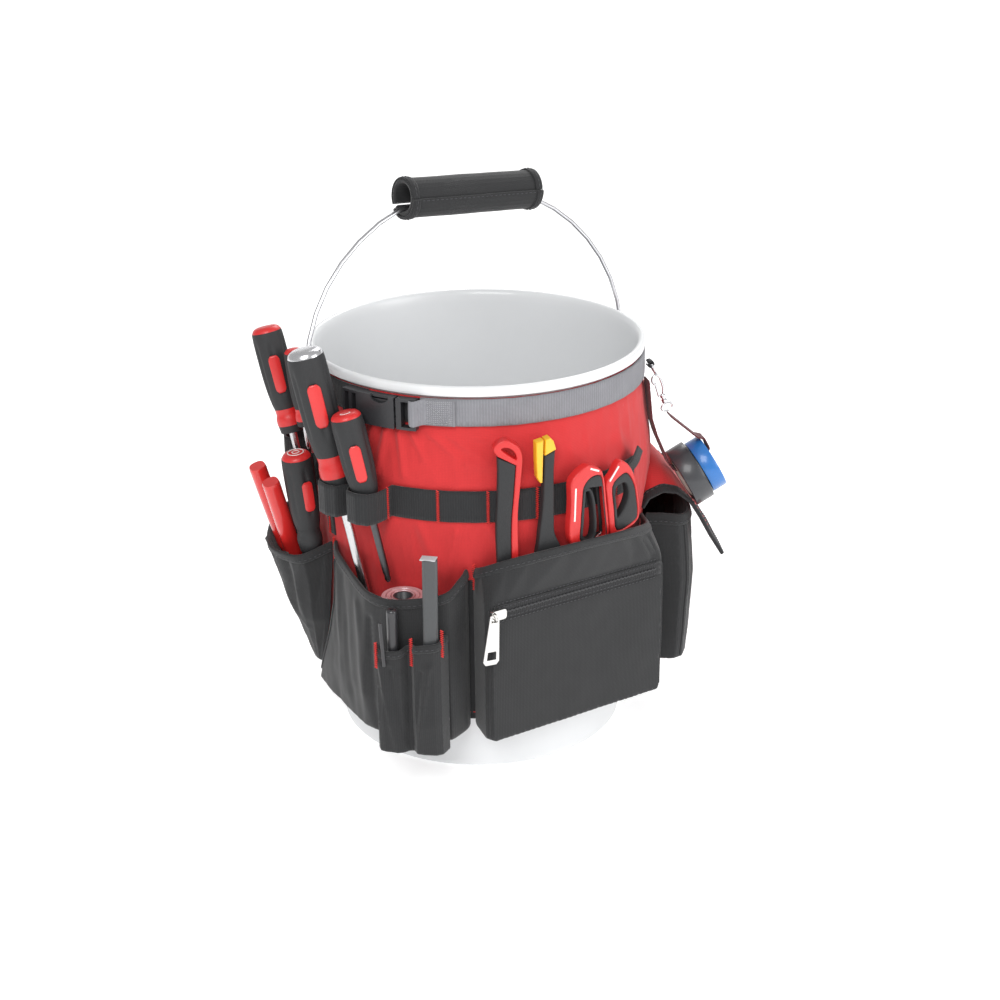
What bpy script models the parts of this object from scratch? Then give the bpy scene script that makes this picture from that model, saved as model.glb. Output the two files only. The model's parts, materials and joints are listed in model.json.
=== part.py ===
"""Tool bucket organizer: a fabric skirt with pockets, straps and loops worn by a pail, with the tools
that stand in it. Millimetres in the constants, metres in the scene. The origin is the centre of the
pail's base, +Z is up and the front faces -Y. Azimuth 0 is the front and grows towards +X."""
import math

import bmesh
import bpy
from mathutils import Matrix, Vector

MM = 0.001
GAP = 0.4

# pail
PAIL_HEIGHT = 368.0
PAIL_BASE_R = 131.0
PAIL_NECK_R = 146.0
LIP_R = 151.0
LIP_HEIGHT = 9.0
PAIL_WALL = 2.4

# bail and its padded wrap
EAR_AZ = 125.0
EAR_Z = 311.0
EAR_R = 12.0
EAR_REACH = 158.5
WIRE_R = 2.0
BAIL_HALF_WIDTH = 174.0
BAIL_LEG = 34.0
BAIL_RISE = 151.0
BAIL_LEAN = 9.3
WRAP_FROM = -57.0
WRAP_TO = 86.0
WRAP_LENGTH = 140.0
WRAP_LIFT = 9.5
WRAP_R = 18.5
WRAP_WALL = 4.0

# skirt: outer radius at each height, top to bottom
SKIRT = ((357.0, 148.4), (334.0, 148.8), (310.0, 151.0), (283.0, 154.0), (262.0, 154.8),
         (236.0, 153.6), (200.0, 150.6), (150.0, 149.2), (60.0, 148.8))
SKIRT_INNER_R = 146.7
POCKET_BASE_R = 151.8
FABRIC = 2.0

# straps
STRAP_Z = (334.0, 357.5)
STRAP_R = (149.6, 151.4)
STRAP_FRONT_AZ = -19.0
STRAP_BACK_AZ = 258.0
BAND_Z = (250.0, 278.0)
BAND_THICK = 1.6

# buckle, at the front left of the top strap
BUCKLE_Z = (330.5, 357.5)
BUCKLE_R = 155.2

# zip pocket: a flat front panel that faces this azimuth
PANEL_AZ = 31.0
PANEL_DISTANCE = 163.0
PANEL_HALF = 94.0
ZIP_Z = 178.0
ZIP_HALF = 84.0

# flap and tape hanger on the right
FLAP_AZ = 95.0
FLAP_HINGE_R = 157.5
FLAP_HINGE_Z = 262.0
FLAP_LENGTH = 117.0
FLAP_SLOPE = 0.65
HANGER_AZ = 80.0
HANGER_OUT_AZ = 100.0
HANGER_R = 156.0
HANGER_Z = 346.0
GREY_ROLL_R = 28.5
BLUE_ROLL_R = 25.5
ROLL_BORE_R = 16.0
GREY_WIDTH = 18.0
BLUE_WIDTH = 14.0
ROLL_TILT = 29.0
ROLL_FACE = (32.0, -113.0)

SPOOL_R = 20.3

RED = (0.60, 0.03, 0.035)
BLACK = (0.045, 0.046, 0.05)
GREY = (0.28, 0.28, 0.30)
STEEL = (0.62, 0.62, 0.64)


def polar(azimuth, radius, z):
    a = math.radians(azimuth)
    return Vector((radius * math.sin(a), -radius * math.cos(a), z)) * MM


def frame(origin, x_axis, y_axis):
    """A frame with the given x axis, and y as near as possible to the given y axis."""
    x = Vector(x_axis).normalized()
    z = x.cross(Vector(y_axis)).normalized()
    y = z.cross(x)
    rows = Matrix((x, y, z)).transposed().to_4x4()
    return Matrix.Translation(origin) @ rows


def tangent(azimuth):
    a = math.radians(azimuth)
    return Vector((math.cos(a), math.sin(a), 0))


def face_frame(azimuth, radius, z):
    """x runs along the pail's side, y up and z out."""
    return frame(polar(azimuth, radius, z), tangent(azimuth), (0, 0, 1))


def axis_frame(top, low):
    """z runs from low to top, with its origin at top."""
    z = (top - low).normalized()
    x = Vector((0, 1, 0)).cross(z).normalized()
    return frame(top, x, z.cross(x))


def clear_scene():
    for obj in list(bpy.data.objects):
        bpy.data.objects.remove(obj, do_unlink=True)


def new_collection(name):
    collection = bpy.data.collections.new(name)
    bpy.context.scene.collection.children.link(collection)
    return collection


def material(name, colour, roughness, metallic=0.0):
    mat = bpy.data.materials.get(name)
    if mat is None:
        mat = bpy.data.materials.new(name)
        mat.use_nodes = True
        shader = mat.node_tree.nodes["Principled BSDF"]
        shader.inputs["Base Color"].default_value = (*colour, 1)
        shader.inputs["Roughness"].default_value = roughness
        shader.inputs["Metallic"].default_value = metallic
    return mat


def add(name, data, matrix, finish):
    obj = bpy.data.objects.new(name, data)
    parts.objects.link(obj)
    obj.matrix_world = matrix
    if finish is not None:
        data.materials.append(finish)
    return obj


def smooth(obj, angle=35):
    obj.data.shade_smooth()
    obj.data.set_sharp_from_angle(angle=math.radians(angle))


def to_mesh(obj, finish):
    """Turns a curve into a welded mesh object of the same name and place."""
    name = obj.name
    bpy.context.view_layer.update()
    evaluated = obj.evaluated_get(bpy.context.evaluated_depsgraph_get())
    mesh = bpy.data.meshes.new_from_object(evaluated)
    matrix = obj.matrix_world.copy()
    bpy.data.objects.remove(obj, do_unlink=True)
    bm = bmesh.new()
    bm.from_mesh(mesh)
    bmesh.ops.remove_doubles(bm, verts=bm.verts, dist=0.00001)
    bmesh.ops.recalc_face_normals(bm, faces=bm.faces)
    bm.to_mesh(mesh)
    bm.free()
    mesh.materials.clear()
    solid = add(name, mesh, matrix, finish)
    solid.name = name
    smooth(solid)
    return solid


def turned(name, profile, matrix, finish, steps=16, ring=False):
    """Revolves (radius, height) points, given down the outer side, around z."""
    mesh = bpy.data.meshes.new(name)
    points = [Vector((r, 0, z)) * MM for r, z in profile]
    edges = [(i, i + 1) for i in range(len(points) - 1)]
    if ring:
        edges.append((len(points) - 1, 0))
    mesh.from_pydata(points, edges, [])
    obj = add(name, mesh, matrix, finish)
    screw = obj.modifiers.new("turn", "SCREW")
    screw.steps = steps
    screw.render_steps = steps
    screw.use_merge_vertices = True
    screw.merge_threshold = 0.00005
    screw.use_smooth_shade = True
    return obj


def tube(name, points, radius, finish, matrix=Matrix(), sides=2, cyclic=False):
    """A round wire along a path of straight runs, in millimetres of its frame."""
    curve = bpy.data.curves.new(name, "CURVE")
    curve.dimensions = "3D"
    curve.bevel_depth = radius * MM
    curve.bevel_resolution = sides
    curve.use_fill_caps = True
    spline = curve.splines.new("POLY")
    spline.points.add(len(points) - 1)
    for point, place in zip(spline.points, points):
        point.co = (*(Vector(place) * MM), 1)
    spline.use_cyclic_u = cyclic
    return to_mesh(add(name, curve, matrix, None), finish)


def plate(name, outlines, thickness, matrix, finish):
    """A flat piece: the first outline, less the others, centred on its frame's xy plane."""
    curve = bpy.data.curves.new(name, "CURVE")
    curve.dimensions = "2D"
    curve.fill_mode = "BOTH"
    curve.extrude = thickness * MM / 2
    for outline in outlines:
        spline = curve.splines.new("POLY")
        spline.points.add(len(outline) - 1)
        for point, (x, y) in zip(spline.points, outline):
            point.co = (x * MM, y * MM, 0, 1)
        spline.use_cyclic_u = True
    return to_mesh(add(name, curve, matrix, None), finish)


def rounded(width, height, radius, centre=(0, 0), steps=3):
    """The outline of a rounded rectangle."""
    outline = []
    for corner, (sx, sy) in enumerate(((1, 1), (-1, 1), (-1, -1), (1, -1))):
        cx = centre[0] + sx * (width / 2 - radius)
        cy = centre[1] + sy * (height / 2 - radius)
        for step in range(steps + 1):
            a = math.radians(90 * corner + 90 * step / steps)
            outline.append((cx + radius * math.cos(a), cy + radius * math.sin(a)))
    return outline


def ellipse(half_width, half_height, centre=(0, 0), steps=16):
    outline = []
    for step in range(steps):
        a = 2 * math.pi * step / steps
        outline.append((centre[0] + half_width * math.cos(a), centre[1] + half_height * math.sin(a)))
    return outline


def loft(name, sections, finish, matrix=Matrix()):
    """A closed solid through closed sections, each with the same number of points."""
    bm = bmesh.new()
    rings = [[bm.verts.new(point) for point in section] for section in sections]
    count = len(rings[0])
    for ring, following in zip(rings, rings[1:]):
        for i in range(count):
            j = (i + 1) % count
            bm.faces.new((ring[i], ring[j], following[j], following[i]))
    caps = [bm.faces.new(rings[0][::-1]), bm.faces.new(rings[-1])]
    bmesh.ops.triangulate(bm, faces=caps)
    bmesh.ops.recalc_face_normals(bm, faces=bm.faces)
    mesh = bpy.data.meshes.new(name)
    bm.to_mesh(mesh)
    bm.free()
    obj = add(name, mesh, matrix, finish)
    smooth(obj)
    return obj


def strip(name, azimuths, heights, inner, thick, finish):
    """A band around the pail: inner gives its inner radius at an azimuth."""
    sections = []
    for azimuth in azimuths:
        radius = inner(azimuth)
        corners = ((radius, heights[0]), (radius + thick, heights[0]),
                   (radius + thick, heights[1]), (radius, heights[1]))
        sections.append([polar(azimuth, r, z) for r, z in corners])
    return loft(name, sections, finish)


def spread(start, end, step):
    count = max(1, round(abs(end - start) / step))
    return [start + (end - start) * i / count for i in range(count + 1)]


def union(obj, others):
    """Joins solids that overlap obj into it."""
    for other in others:
        combine(obj, other, "UNION")
        bpy.data.objects.remove(other, do_unlink=True)
    return obj


def combine(obj, other, operation):
    boolean = obj.modifiers.new(operation.lower(), "BOOLEAN")
    boolean.operation = operation
    boolean.object = other
    bpy.context.view_layer.update()
    evaluated = obj.evaluated_get(bpy.context.evaluated_depsgraph_get())
    mesh = bpy.data.meshes.new_from_object(evaluated)
    obj.modifiers.remove(boolean)
    obj.data = mesh


def cutter(name, radius, depth, matrix, sides=20):
    mesh = bpy.data.meshes.new(name)
    bm = bmesh.new()
    bmesh.ops.create_cone(bm, cap_ends=True, segments=sides, radius1=radius * MM,
                          radius2=radius * MM, depth=depth * MM)
    bm.to_mesh(mesh)
    bm.free()
    obj = bpy.data.objects.new(name, mesh)
    cutters.objects.link(obj)
    obj.matrix_world = matrix
    obj.hide_render = True
    obj.display_type = "WIRE"
    return obj


# ---- pail, bail and wrap

def ear_frames():
    """One frame per ear: z points out along the ear axis."""
    return [face_frame(azimuth, EAR_REACH, EAR_Z) for azimuth in (EAR_AZ, EAR_AZ - 180)]


def make_pail():
    plastic = material("pail_plastic", (0.86, 0.87, 0.88), 0.35)
    neck = PAIL_HEIGHT - LIP_HEIGHT
    profile = [(LIP_R - 2.6, PAIL_HEIGHT), (LIP_R - 0.6, PAIL_HEIGHT - 1.2), (LIP_R, PAIL_HEIGHT - 3),
               (LIP_R, neck), (PAIL_NECK_R, neck), (PAIL_BASE_R + 1, 5), (PAIL_BASE_R - 2, 0),
               (0, 0), (0, PAIL_WALL + 1), (PAIL_BASE_R - PAIL_WALL - 3, PAIL_WALL + 1),
               (PAIL_BASE_R - PAIL_WALL + 1, 9), (PAIL_NECK_R - PAIL_WALL, neck - 4),
               (LIP_R - 5.6, PAIL_HEIGHT - 3), (LIP_R - 4.6, PAIL_HEIGHT - 0.6)]
    pail = turned("bucket_shell", profile, Matrix(), plastic, steps=48, ring=True)
    bpy.context.view_layer.update()
    evaluated = pail.evaluated_get(bpy.context.evaluated_depsgraph_get())
    mesh = bpy.data.meshes.new_from_object(evaluated)
    pail.modifiers.clear()
    pail.data = mesh
    for place in ear_frames():
        boss = cutter("ear_boss", EAR_R, 16, place @ Matrix.Translation((0, 0, -8 * MM)))
        combine(pail, boss, "UNION")
        pin_hole = cutter("ear_hole", WIRE_R + 0.5, 9, place @ Matrix.Translation((0, 0, -2 * MM)), 12)
        combine(pail, pin_hole, "DIFFERENCE")
        bpy.data.objects.remove(boss, do_unlink=True)
        bpy.data.objects.remove(pin_hole, do_unlink=True)
    smooth(pail, 30)


def bail_frame():
    """x runs along the ear axis to the right ear, y up the leaning bail."""
    along = tangent(EAR_AZ - 90)
    across = Vector((0, 0, 1)).cross(along)
    lean = math.radians(BAIL_LEAN)
    up = Vector((0, 0, 1)) * math.cos(lean) + across * math.sin(lean)
    return frame(Vector((0, 0, EAR_Z * MM)), along, up)


def bail_height(x):
    return BAIL_LEG + BAIL_RISE * math.sqrt(1 - (x / BAIL_HALF_WIDTH) ** 2)


def bail_path():
    """From one ear's pin, up the leg, over the arch with a straight grip, to the other pin."""
    left = math.degrees(math.acos(-WRAP_FROM / BAIL_HALF_WIDTH))
    right = math.degrees(math.acos(WRAP_TO / BAIL_HALF_WIDTH))
    arch = [(-BAIL_HALF_WIDTH * math.cos(math.radians(a)), a) for a in spread(0, left, 9)]
    arch += [(BAIL_HALF_WIDTH * math.cos(math.radians(a)), a) for a in spread(right, 0, 9)]
    path = [(x, BAIL_LEG + BAIL_RISE * math.sin(math.radians(a)), 0) for x, a in arch]
    pin = EAR_REACH - 5
    edge = BAIL_HALF_WIDTH
    start = [(-pin, 0, 0), (-edge + 3, 0, 0), (-edge, 3, 0)]
    end = [(edge, 3, 0), (edge - 3, 0, 0), (pin, 0, 0)]
    return start + path + end


def wrap_frame():
    """x runs along the grip, y up, with its origin at the middle of the grip."""
    a = Vector((WRAP_FROM, bail_height(WRAP_FROM), 0)) * MM
    b = Vector((WRAP_TO, bail_height(WRAP_TO), 0)) * MM
    place = bail_frame()
    middle = (a + b) / 2 + Vector((0, WRAP_LIFT, 0)) * MM
    return frame(place @ middle, place.to_3x3() @ (b - a), place.to_3x3() @ Vector((0, 1, 0)))


def arc_sections(radius, thick, start, end, length, place, steps=14):
    """Sections of a curved wall around the x axis, from angle start to end, over a length."""
    sections = []
    for a in spread(start, end, abs(end - start) / steps):
        c = math.cos(math.radians(a))
        s = math.sin(math.radians(a))
        ring = []
        for r, x in ((radius, -length / 2), (radius, length / 2),
                     (radius + thick, length / 2), (radius + thick, -length / 2)):
            ring.append(place @ (Vector((x, r * c, r * s)) * MM))
        sections.append(ring)
    return sections


def make_bail():
    steel = material("bail_steel", STEEL, 0.25, 1.0)
    padding = material("wrap_fabric", BLACK, 0.85)
    tube("bail_wire", bail_path(), WIRE_R, steel, bail_frame())
    inner = WRAP_R - WRAP_WALL - 2
    place = wrap_frame()
    loft("handle_wrap", arc_sections(inner, WRAP_WALL, -112, 236, WRAP_LENGTH, place, 24), padding)
    loft("wrap_flap", arc_sections(WRAP_R - 1.5, 1.5, 95, 236, WRAP_LENGTH, place, 10), padding)


# ---- skirt, straps and loops

def skirt_radius(z):
    for (high, r_high), (low, r_low) in zip(SKIRT, SKIRT[1:]):
        if z >= low:
            return r_low + (r_high - r_low) * (min(z, high) - low) / (high - low)
    return SKIRT[-1][1]


def make_skirt():
    red = material("red_fabric", RED, 0.8)
    profile = [(r, z) for z, r in SKIRT]
    profile += [(SKIRT_INNER_R, SKIRT[-1][0]), (SKIRT_INNER_R, SKIRT[0][0])]
    skirt = turned("skirt", profile, Matrix(), red, steps=48, ring=True)
    for place in ear_frames():
        hole = cutter("ear_opening", EAR_R + 2, 30, place)
        boolean = skirt.modifiers.new("ear opening", "BOOLEAN")
        boolean.operation = "DIFFERENCE"
        boolean.object = hole


def make_top_strap():
    grey = material("grey_webbing", GREY, 0.85)
    black = material("black_webbing", BLACK, 0.85)
    strip("top_strap", spread(STRAP_FRONT_AZ, STRAP_BACK_AZ, 7.5), STRAP_Z,
          lambda azimuth: STRAP_R[0], STRAP_R[1] - STRAP_R[0], grey)
    strip("strap_end_patch", spread(-18.5, -8.5, 5), (STRAP_Z[0] + 0.5, STRAP_Z[1] - 0.5),
          lambda azimuth: STRAP_R[1] + 0.3, 1.8, grey)
    strip("adjuster_strap", spread(STRAP_BACK_AZ - 360 + 1, -38, 7.5), STRAP_Z,
          lambda azimuth: STRAP_R[0], STRAP_R[1] - STRAP_R[0], black)


def rolled(obj, radius):
    """Rolls a flat plate, whose x is an arc length, onto the pail's side about the z axis."""
    for vertex in obj.data.vertices:
        x, y, z = obj.matrix_world @ vertex.co
        azimuth = math.degrees(x / (radius * MM))
        vertex.co = polar(azimuth, radius + z / MM, y / MM)
    obj.matrix_world = Matrix()
    smooth(obj)
    return obj


def arc(azimuth):
    return math.radians(azimuth) * BUCKLE_R


def flat_block(name, azimuths, heights, depths, finish):
    """A box in the buckle's flat layout, cut into short lengths so that it can be rolled."""
    x0, x1 = (arc(a) for a in azimuths)
    sections = []
    for x in spread(x0, x1, 6):
        ring = [Vector((x, y, z)) * MM for y, z in
                ((heights[0], depths[0]), (heights[1], depths[0]),
                 (heights[1], depths[1]), (heights[0], depths[1]))]
        sections.append(ring)
    return loft(name, sections, finish)


def make_buckle():
    """The socket is a tube on two ladder bars. The prongs reach into it from the strap's loop."""
    plastic = material("buckle_plastic", (0.03, 0.03, 0.032), 0.4)
    low, high = BUCKLE_Z
    mid = (low + high) / 2
    socket = flat_block("buckle_socket", (-46, -26.5), (low, high), (-3.6, 5.2), plastic)
    hollow = flat_block("socket_hollow", (-38, -25), (low + 2, high - 2), (-1.4, 3.0), None)
    slot_a = flat_block("ladder_slot_a", (-45, -43.2), (low + 2, high - 2), (-9, 9), None)
    slot_b = flat_block("ladder_slot_b", (-42, -40.2), (low + 2, high - 2), (-9, 9), None)
    web_slot = flat_block("web_slot", (-48, -37), (low + 1.8, high - 1.2), (-9, -2.0), None)
    thumb = plate("thumb_window", [ellipse(9, 6, (arc(-31.5), high))], 8,
                  Matrix.Translation((0, 0, 6.5 * MM)), None)
    for tool in (hollow, slot_a, slot_b, web_slot, thumb):
        combine(socket, tool, "DIFFERENCE")
        bpy.data.objects.remove(tool, do_unlink=True)
    rolled(socket, BUCKLE_R)
    prongs = flat_block("buckle_prongs", (-25.9, -19.5), (low, high), (-3.4, 4.6), plastic)
    window = flat_block("strap_window", (-24.2, -21.2), (low + 2.4, high - 2.4), (-9, 9), None)
    combine(prongs, window, "DIFFERENCE")
    bpy.data.objects.remove(window, do_unlink=True)
    fingers = [flat_block("finger", (-37, -25.5), (y - 2.5, y + 2.5), (-0.8, 2.2), None)
               for y in (mid - 7.5, mid, mid + 7.5)]
    rolled(union(prongs, fingers), BUCKLE_R)


def loop_stand_off(azimuth, loops):
    """How far the band stands off the skirt, where it arches over a tool."""
    for centre, half_width, height in loops:
        reach = (azimuth - centre) / half_width
        if abs(reach) < 1:
            return height * math.sqrt(1 - reach ** 4)
    return 0.0


def band_azimuths(start, end, loops):
    """Even steps along the band, with finer ones over each loop."""
    stops = set(spread(start, end, 7.5))
    for centre, half_width, _ in loops:
        stops = {a for a in stops if abs(a - centre) > half_width + 1}
        stops |= {centre + half_width * t for t in (-1, -0.97, -0.85, -0.6, 0, 0.6, 0.85, 0.97, 1)}
    return sorted(stops)


FRONT_LOOPS = ((-45.0, 5.6, 30.5), (-34.3, 5.4, 31.2))
REAR_LOOPS = ((-72.8, 3.6, 19.0), (-89.0, 5.0, 20.0))


def make_bands():
    black = material("black_webbing", BLACK, 0.85)
    radius = max(skirt_radius(z) for z in spread(*BAND_Z, 4)) + 2 * GAP
    strip("loop_band", band_azimuths(-56.0, 60.0, FRONT_LOOPS), BAND_Z,
          lambda a: radius + loop_stand_off(a, FRONT_LOOPS), BAND_THICK, black)
    strip("rear_loop_band", band_azimuths(-225.0, -66.0, REAR_LOOPS), BAND_Z,
          lambda a: radius + loop_stand_off(a, REAR_LOOPS), BAND_THICK, black)
    side = [(z, skirt_radius(z) + GAP) for z in spread(296, 210, 21.5)]
    sections = []
    for z, r in side:
        r = max(r, radius) if BAND_Z[0] - 12 < z < BAND_Z[1] + 12 else r
        sections.append([polar(a, q, z) for a, q in ((-57, r), (-61.5, r), (-61.5, r + 1.6), (-57, r + 1.6))])
    loft("side_webbing", sections, black)


# ---- pockets

def smooth_corners(points, rounds=1):
    """Cuts an open outline's corners, which rounds them."""
    for _ in range(rounds):
        cut = [points[0]]
        for a, b in zip(points, points[1:]):
            cut += [a.lerp(b, 0.22), a.lerp(b, 0.78)]
        points = cut + [points[-1]]
    return points


def inward(points, distance):
    """The outline moved to its right by a distance, with mitred corners."""
    moved = []
    for i, point in enumerate(points):
        before = points[max(i - 1, 0)]
        after = points[min(i + 1, len(points) - 1)]
        sides = []
        for a, b in ((before, point), (point, after)):
            if (b - a).length > 1e-9:
                d = (b - a).normalized()
                sides.append(Vector((-d.y, d.x, 0)))
        normal = sum(sides, Vector()).normalized()
        moved.append(point + normal * distance / max(normal.dot(sides[0]), 0.5))
    return moved


def beyond(point, radius):
    """The point, pushed out to at least this radius from the z axis."""
    flat = Vector((point.x, point.y, 0))
    if flat.length < radius:
        flat = flat.normalized() * radius
    return Vector((flat.x, flat.y, point.z))


def make_pocket(name, levels, finish, base=None, rounds=1):
    """An open-topped pocket. Each level is a height (one, or one per corner) with its corners as
    (azimuth, radius). The first level is the floor. base gives the radius behind it."""
    base = base or (lambda azimuth, z: POCKET_BASE_R)
    outer = []
    for height, corners in levels:
        heights = height if isinstance(height, tuple) else (height,) * len(corners)
        outer.append(smooth_corners([polar(a, r, z) for (a, r), z in zip(corners, heights)], rounds))
    inner = [inward(row, FABRIC * MM) for row in outer]
    floor = outer[0][0].z + FABRIC * MM
    for row, place in zip(inner, range(len(inner))):
        for i, point in enumerate(row):
            azimuth = math.degrees(math.atan2(point.x, -point.y))
            limit = (base(azimuth, point.z / MM) + 0.25) * MM
            row[i] = beyond(point, limit)
            if place == 0:
                row[i].z = floor
    sections = []
    for i in range(len(outer[0])):
        azimuth = math.degrees(math.atan2(inner[0][i].x, -inner[0][i].y))
        low = polar(azimuth, base(azimuth, outer[0][i].z / MM), outer[0][i].z / MM)
        high = polar(azimuth, base(azimuth, floor / MM), floor / MM)
        section = [low] + [row[i] for row in outer] + [row[i] for row in reversed(inner)] + [high]
        sections.append(section)
    return loft(name, sections, finish)


def deepened(corners, depth):
    """The corners of a pocket at a share of its full depth."""
    return [(a, POCKET_BASE_R + max(1.8, (r - POCKET_BASE_R) * depth)) for a, r in corners]


def left_seam(z):
    """The azimuth of the seam between the two left pockets, which leans."""
    return -58.0 - 18.0 * min(max((200 - z) / 140, 0), 1) ** 2


def front_left_corners(depth, z):
    seam = left_seam(z) + 0.4
    return deepened(((seam, 153.6), (seam + 6.0, 163), (-28, 200.5), (-10, 190), (-5.5, 165), (-4.6, 153.6)),
                    depth)


def front_left_wall(azimuth, z):
    """The pocket's outer radius at an azimuth, for what is sewn on its front."""
    corners = front_left_corners(1.0, z)
    for (a0, r0), (a1, r1) in zip(corners, corners[1:]):
        if azimuth <= a1:
            p = polar(a0, r0, 0)
            q = polar(a1, r1, 0)
            ray = polar(azimuth, 1.0, 0).normalized()
            d = q - p
            return (p.x * d.y - p.y * d.x) / (ray.x * d.y - ray.y * d.x) / MM
    return corners[-1][1]


def pen_wall(azimuth, z):
    return front_left_wall(azimuth, min(z, 150)) + 1.2


def pen_corners(bulge):
    places = ((-27.0, 2.2), (-25.6, 13.0), (-20.4, 14.5), (-18.6, 4.0),
              (-16.4, 16.0), (-10.8, 16.0), (-9.3, 2.2))
    return [(a, pen_wall(a, 120) + max(2.2, r * bulge)) for a, r in places]


def make_left_pockets():
    black = material("black_fabric", BLACK, 0.8)
    make_pocket("front_left_pocket", [
        (54.0, front_left_corners(0.9, 54)),
        (90.0, front_left_corners(1.0, 90)),
        (150.0, front_left_corners(1.0, 150)),
        ((204.0, 200.0, 188.0, 194.0, 203.0, 205.0), front_left_corners(0.985, 200))], black)
    make_pocket("pen_pockets", [
        (50.0, pen_corners(0.75)),
        (80.0, pen_corners(1.0)),
        ((150.0, 148.0, 148.0, 151.0, 155.0, 158.0, 160.0), pen_corners(1.0))], black, pen_wall)

    def far_corners(depth, z):
        seam = left_seam(z) - 0.4
        front = min(-74, seam - 5.0)
        return deepened(((-112, 153.6), (-98, 193), (front, 203), (seam - 2.0, 188), (seam, 153.6)), depth)

    make_pocket("far_left_pocket", [
        (62.0, far_corners(0.15, 62)),
        (120.0, far_corners(0.55, 120)),
        ((200.0, 194.0, 190.0, 192.0, 202.0), far_corners(1.0, 200))], black)


def panel_radius(azimuth):
    return PANEL_DISTANCE / math.cos(math.radians(azimuth - PANEL_AZ))


def make_zip_pocket():
    black = material("black_fabric", BLACK, 0.8)
    edge = math.degrees(math.atan2(PANEL_HALF, PANEL_DISTANCE))
    left, right = PANEL_AZ - edge, PANEL_AZ + edge
    full = [(-3.0, 153.6), (left, panel_radius(left)), (left + 6, panel_radius(left + 6)),
            (PANEL_AZ, PANEL_DISTANCE), (right - 6, panel_radius(right - 6)),
            (right, panel_radius(right)), (75.0, 153.6)]
    top = [(-3.0, 153.6), (0.2, 167), (9, 174), (PANEL_AZ, 175.5), (46, 179), (60, 173), (75.0, 153.6)]
    heights = (205.0, 212.0, 222.0, 228.0, 226.0, 216.0, 206.0)
    make_pocket("zip_pocket", [(55.0, full), (186.0, full), (heights, top)], black)
    tape = face_frame(PANEL_AZ, PANEL_DISTANCE + 0.9, ZIP_Z)
    plate("zipper_tape", [rounded(2 * ZIP_HALF + 8, 13, 1)], 1.0, tape, material("zip_nylon", BLACK, 0.6))
    metal = material("zip_metal", (0.72, 0.72, 0.72), 0.3, 1.0)
    slider = face_frame(PANEL_AZ, PANEL_DISTANCE + 4.2, ZIP_Z)
    slider = slider @ Matrix.Translation((-ZIP_HALF * MM, 0, 0))
    body = plate("zipper_slider", [rounded(15, 9, 2.5, (-1.5, 0))], 3.0,
                 slider @ Matrix.Translation((0, 0, -0.8 * MM)), metal)
    bridge = tube("bridge", [(-7.0, -2.2, -0.5), (-7.0, -2.2, 4.2), (-7.0, -1.4, 5.0), (-7.0, 2.8, 5.0),
                             (-7.0, 3.6, 4.2), (-7.0, 3.6, -0.5)], 0.7, metal, slider, sides=1)
    union(body, [bridge])
    tab = slider @ Matrix.Translation((-7.5 * MM, 0, 2.6 * MM)) @ Matrix.Rotation(math.radians(-6), 4, "Z")
    outline = [(-4.5, 2.2), (4.5, 2.2), (8.0, -40), (5.5, -43), (-5.5, -43), (-8.0, -40)]
    eye = [(-3.0, 0.2), (-3.0, -4.5), (3.0, -4.5), (3.0, 0.2)]
    window = [(-4.2, -31), (-4.6, -38.5), (4.6, -38.5), (4.2, -31)]
    plate("zipper_pull", [outline, eye, window], 1.6, tab, metal)


def make_right_pockets():
    black = material("black_fabric", BLACK, 0.8)
    right = [((76.6, 153.6), (78.6, r), (111.4, r), (113.4, 153.6)) for r in (202, 208, 202)]
    make_pocket("right_pocket", [(57.0, right[0]), (140.0, right[1]), (203.0, right[2])], black, rounds=2)
    rear = {"rear_pocket_right": (137, 183), "rear_pocket_left": (187, 240)}
    for name, (start, end) in rear.items():
        corners = ((start, 153.6), (start + 3, 184), (end - 3, 184), (end, 153.6))
        corners = (corners[0], corners[1], ((start + end) / 2, 188), corners[2], corners[3])
        low = [(a, r if r < 160 else r - 8) for a, r in corners]
        make_pocket(name, [(57.0, low), (110.0, corners), (200.0, corners)], black, rounds=2)


# ---- flap, hanger and tape rolls on the right

def flap_frame():
    """x runs along the hinge, y up the flap, z out of its upper face."""
    out = Vector(polar(FLAP_AZ, 1, 0)).normalized()
    down = (out * FLAP_SLOPE - Vector((0, 0, 1))).normalized()
    return frame(polar(FLAP_AZ, FLAP_HINGE_R, FLAP_HINGE_Z), tangent(FLAP_AZ), -down)


def make_flap():
    red = material("red_fabric", RED, 0.8)
    outline = [(-43, -2), (43, -2), (58, -FLAP_LENGTH + 8), (52, -FLAP_LENGTH),
               (-52, -FLAP_LENGTH), (-58, -FLAP_LENGTH + 8)]
    plate("pocket_flap", [outline], 2.4, flap_frame(), red)


def hanger_frame():
    """x points out from the ring, y up, with its origin on the ring's straight side."""
    out = polar(HANGER_OUT_AZ, 1, 0)
    return frame(polar(HANGER_AZ, HANGER_R, HANGER_Z), out, (0, 0, 1))


def roll_frame(inset):
    """z points out along the rolls' common axis, from the inner face of the first roll."""
    tilt = Matrix.Rotation(math.radians(ROLL_TILT), 4, "Z")
    face = Matrix.Translation((ROLL_FACE[0] * MM, ROLL_FACE[1] * MM, 0))
    turn = Matrix.Rotation(math.radians(90), 4, "Y")
    return hanger_frame() @ face @ tilt @ Matrix.Translation((inset * MM, 0, 0)) @ turn


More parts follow.
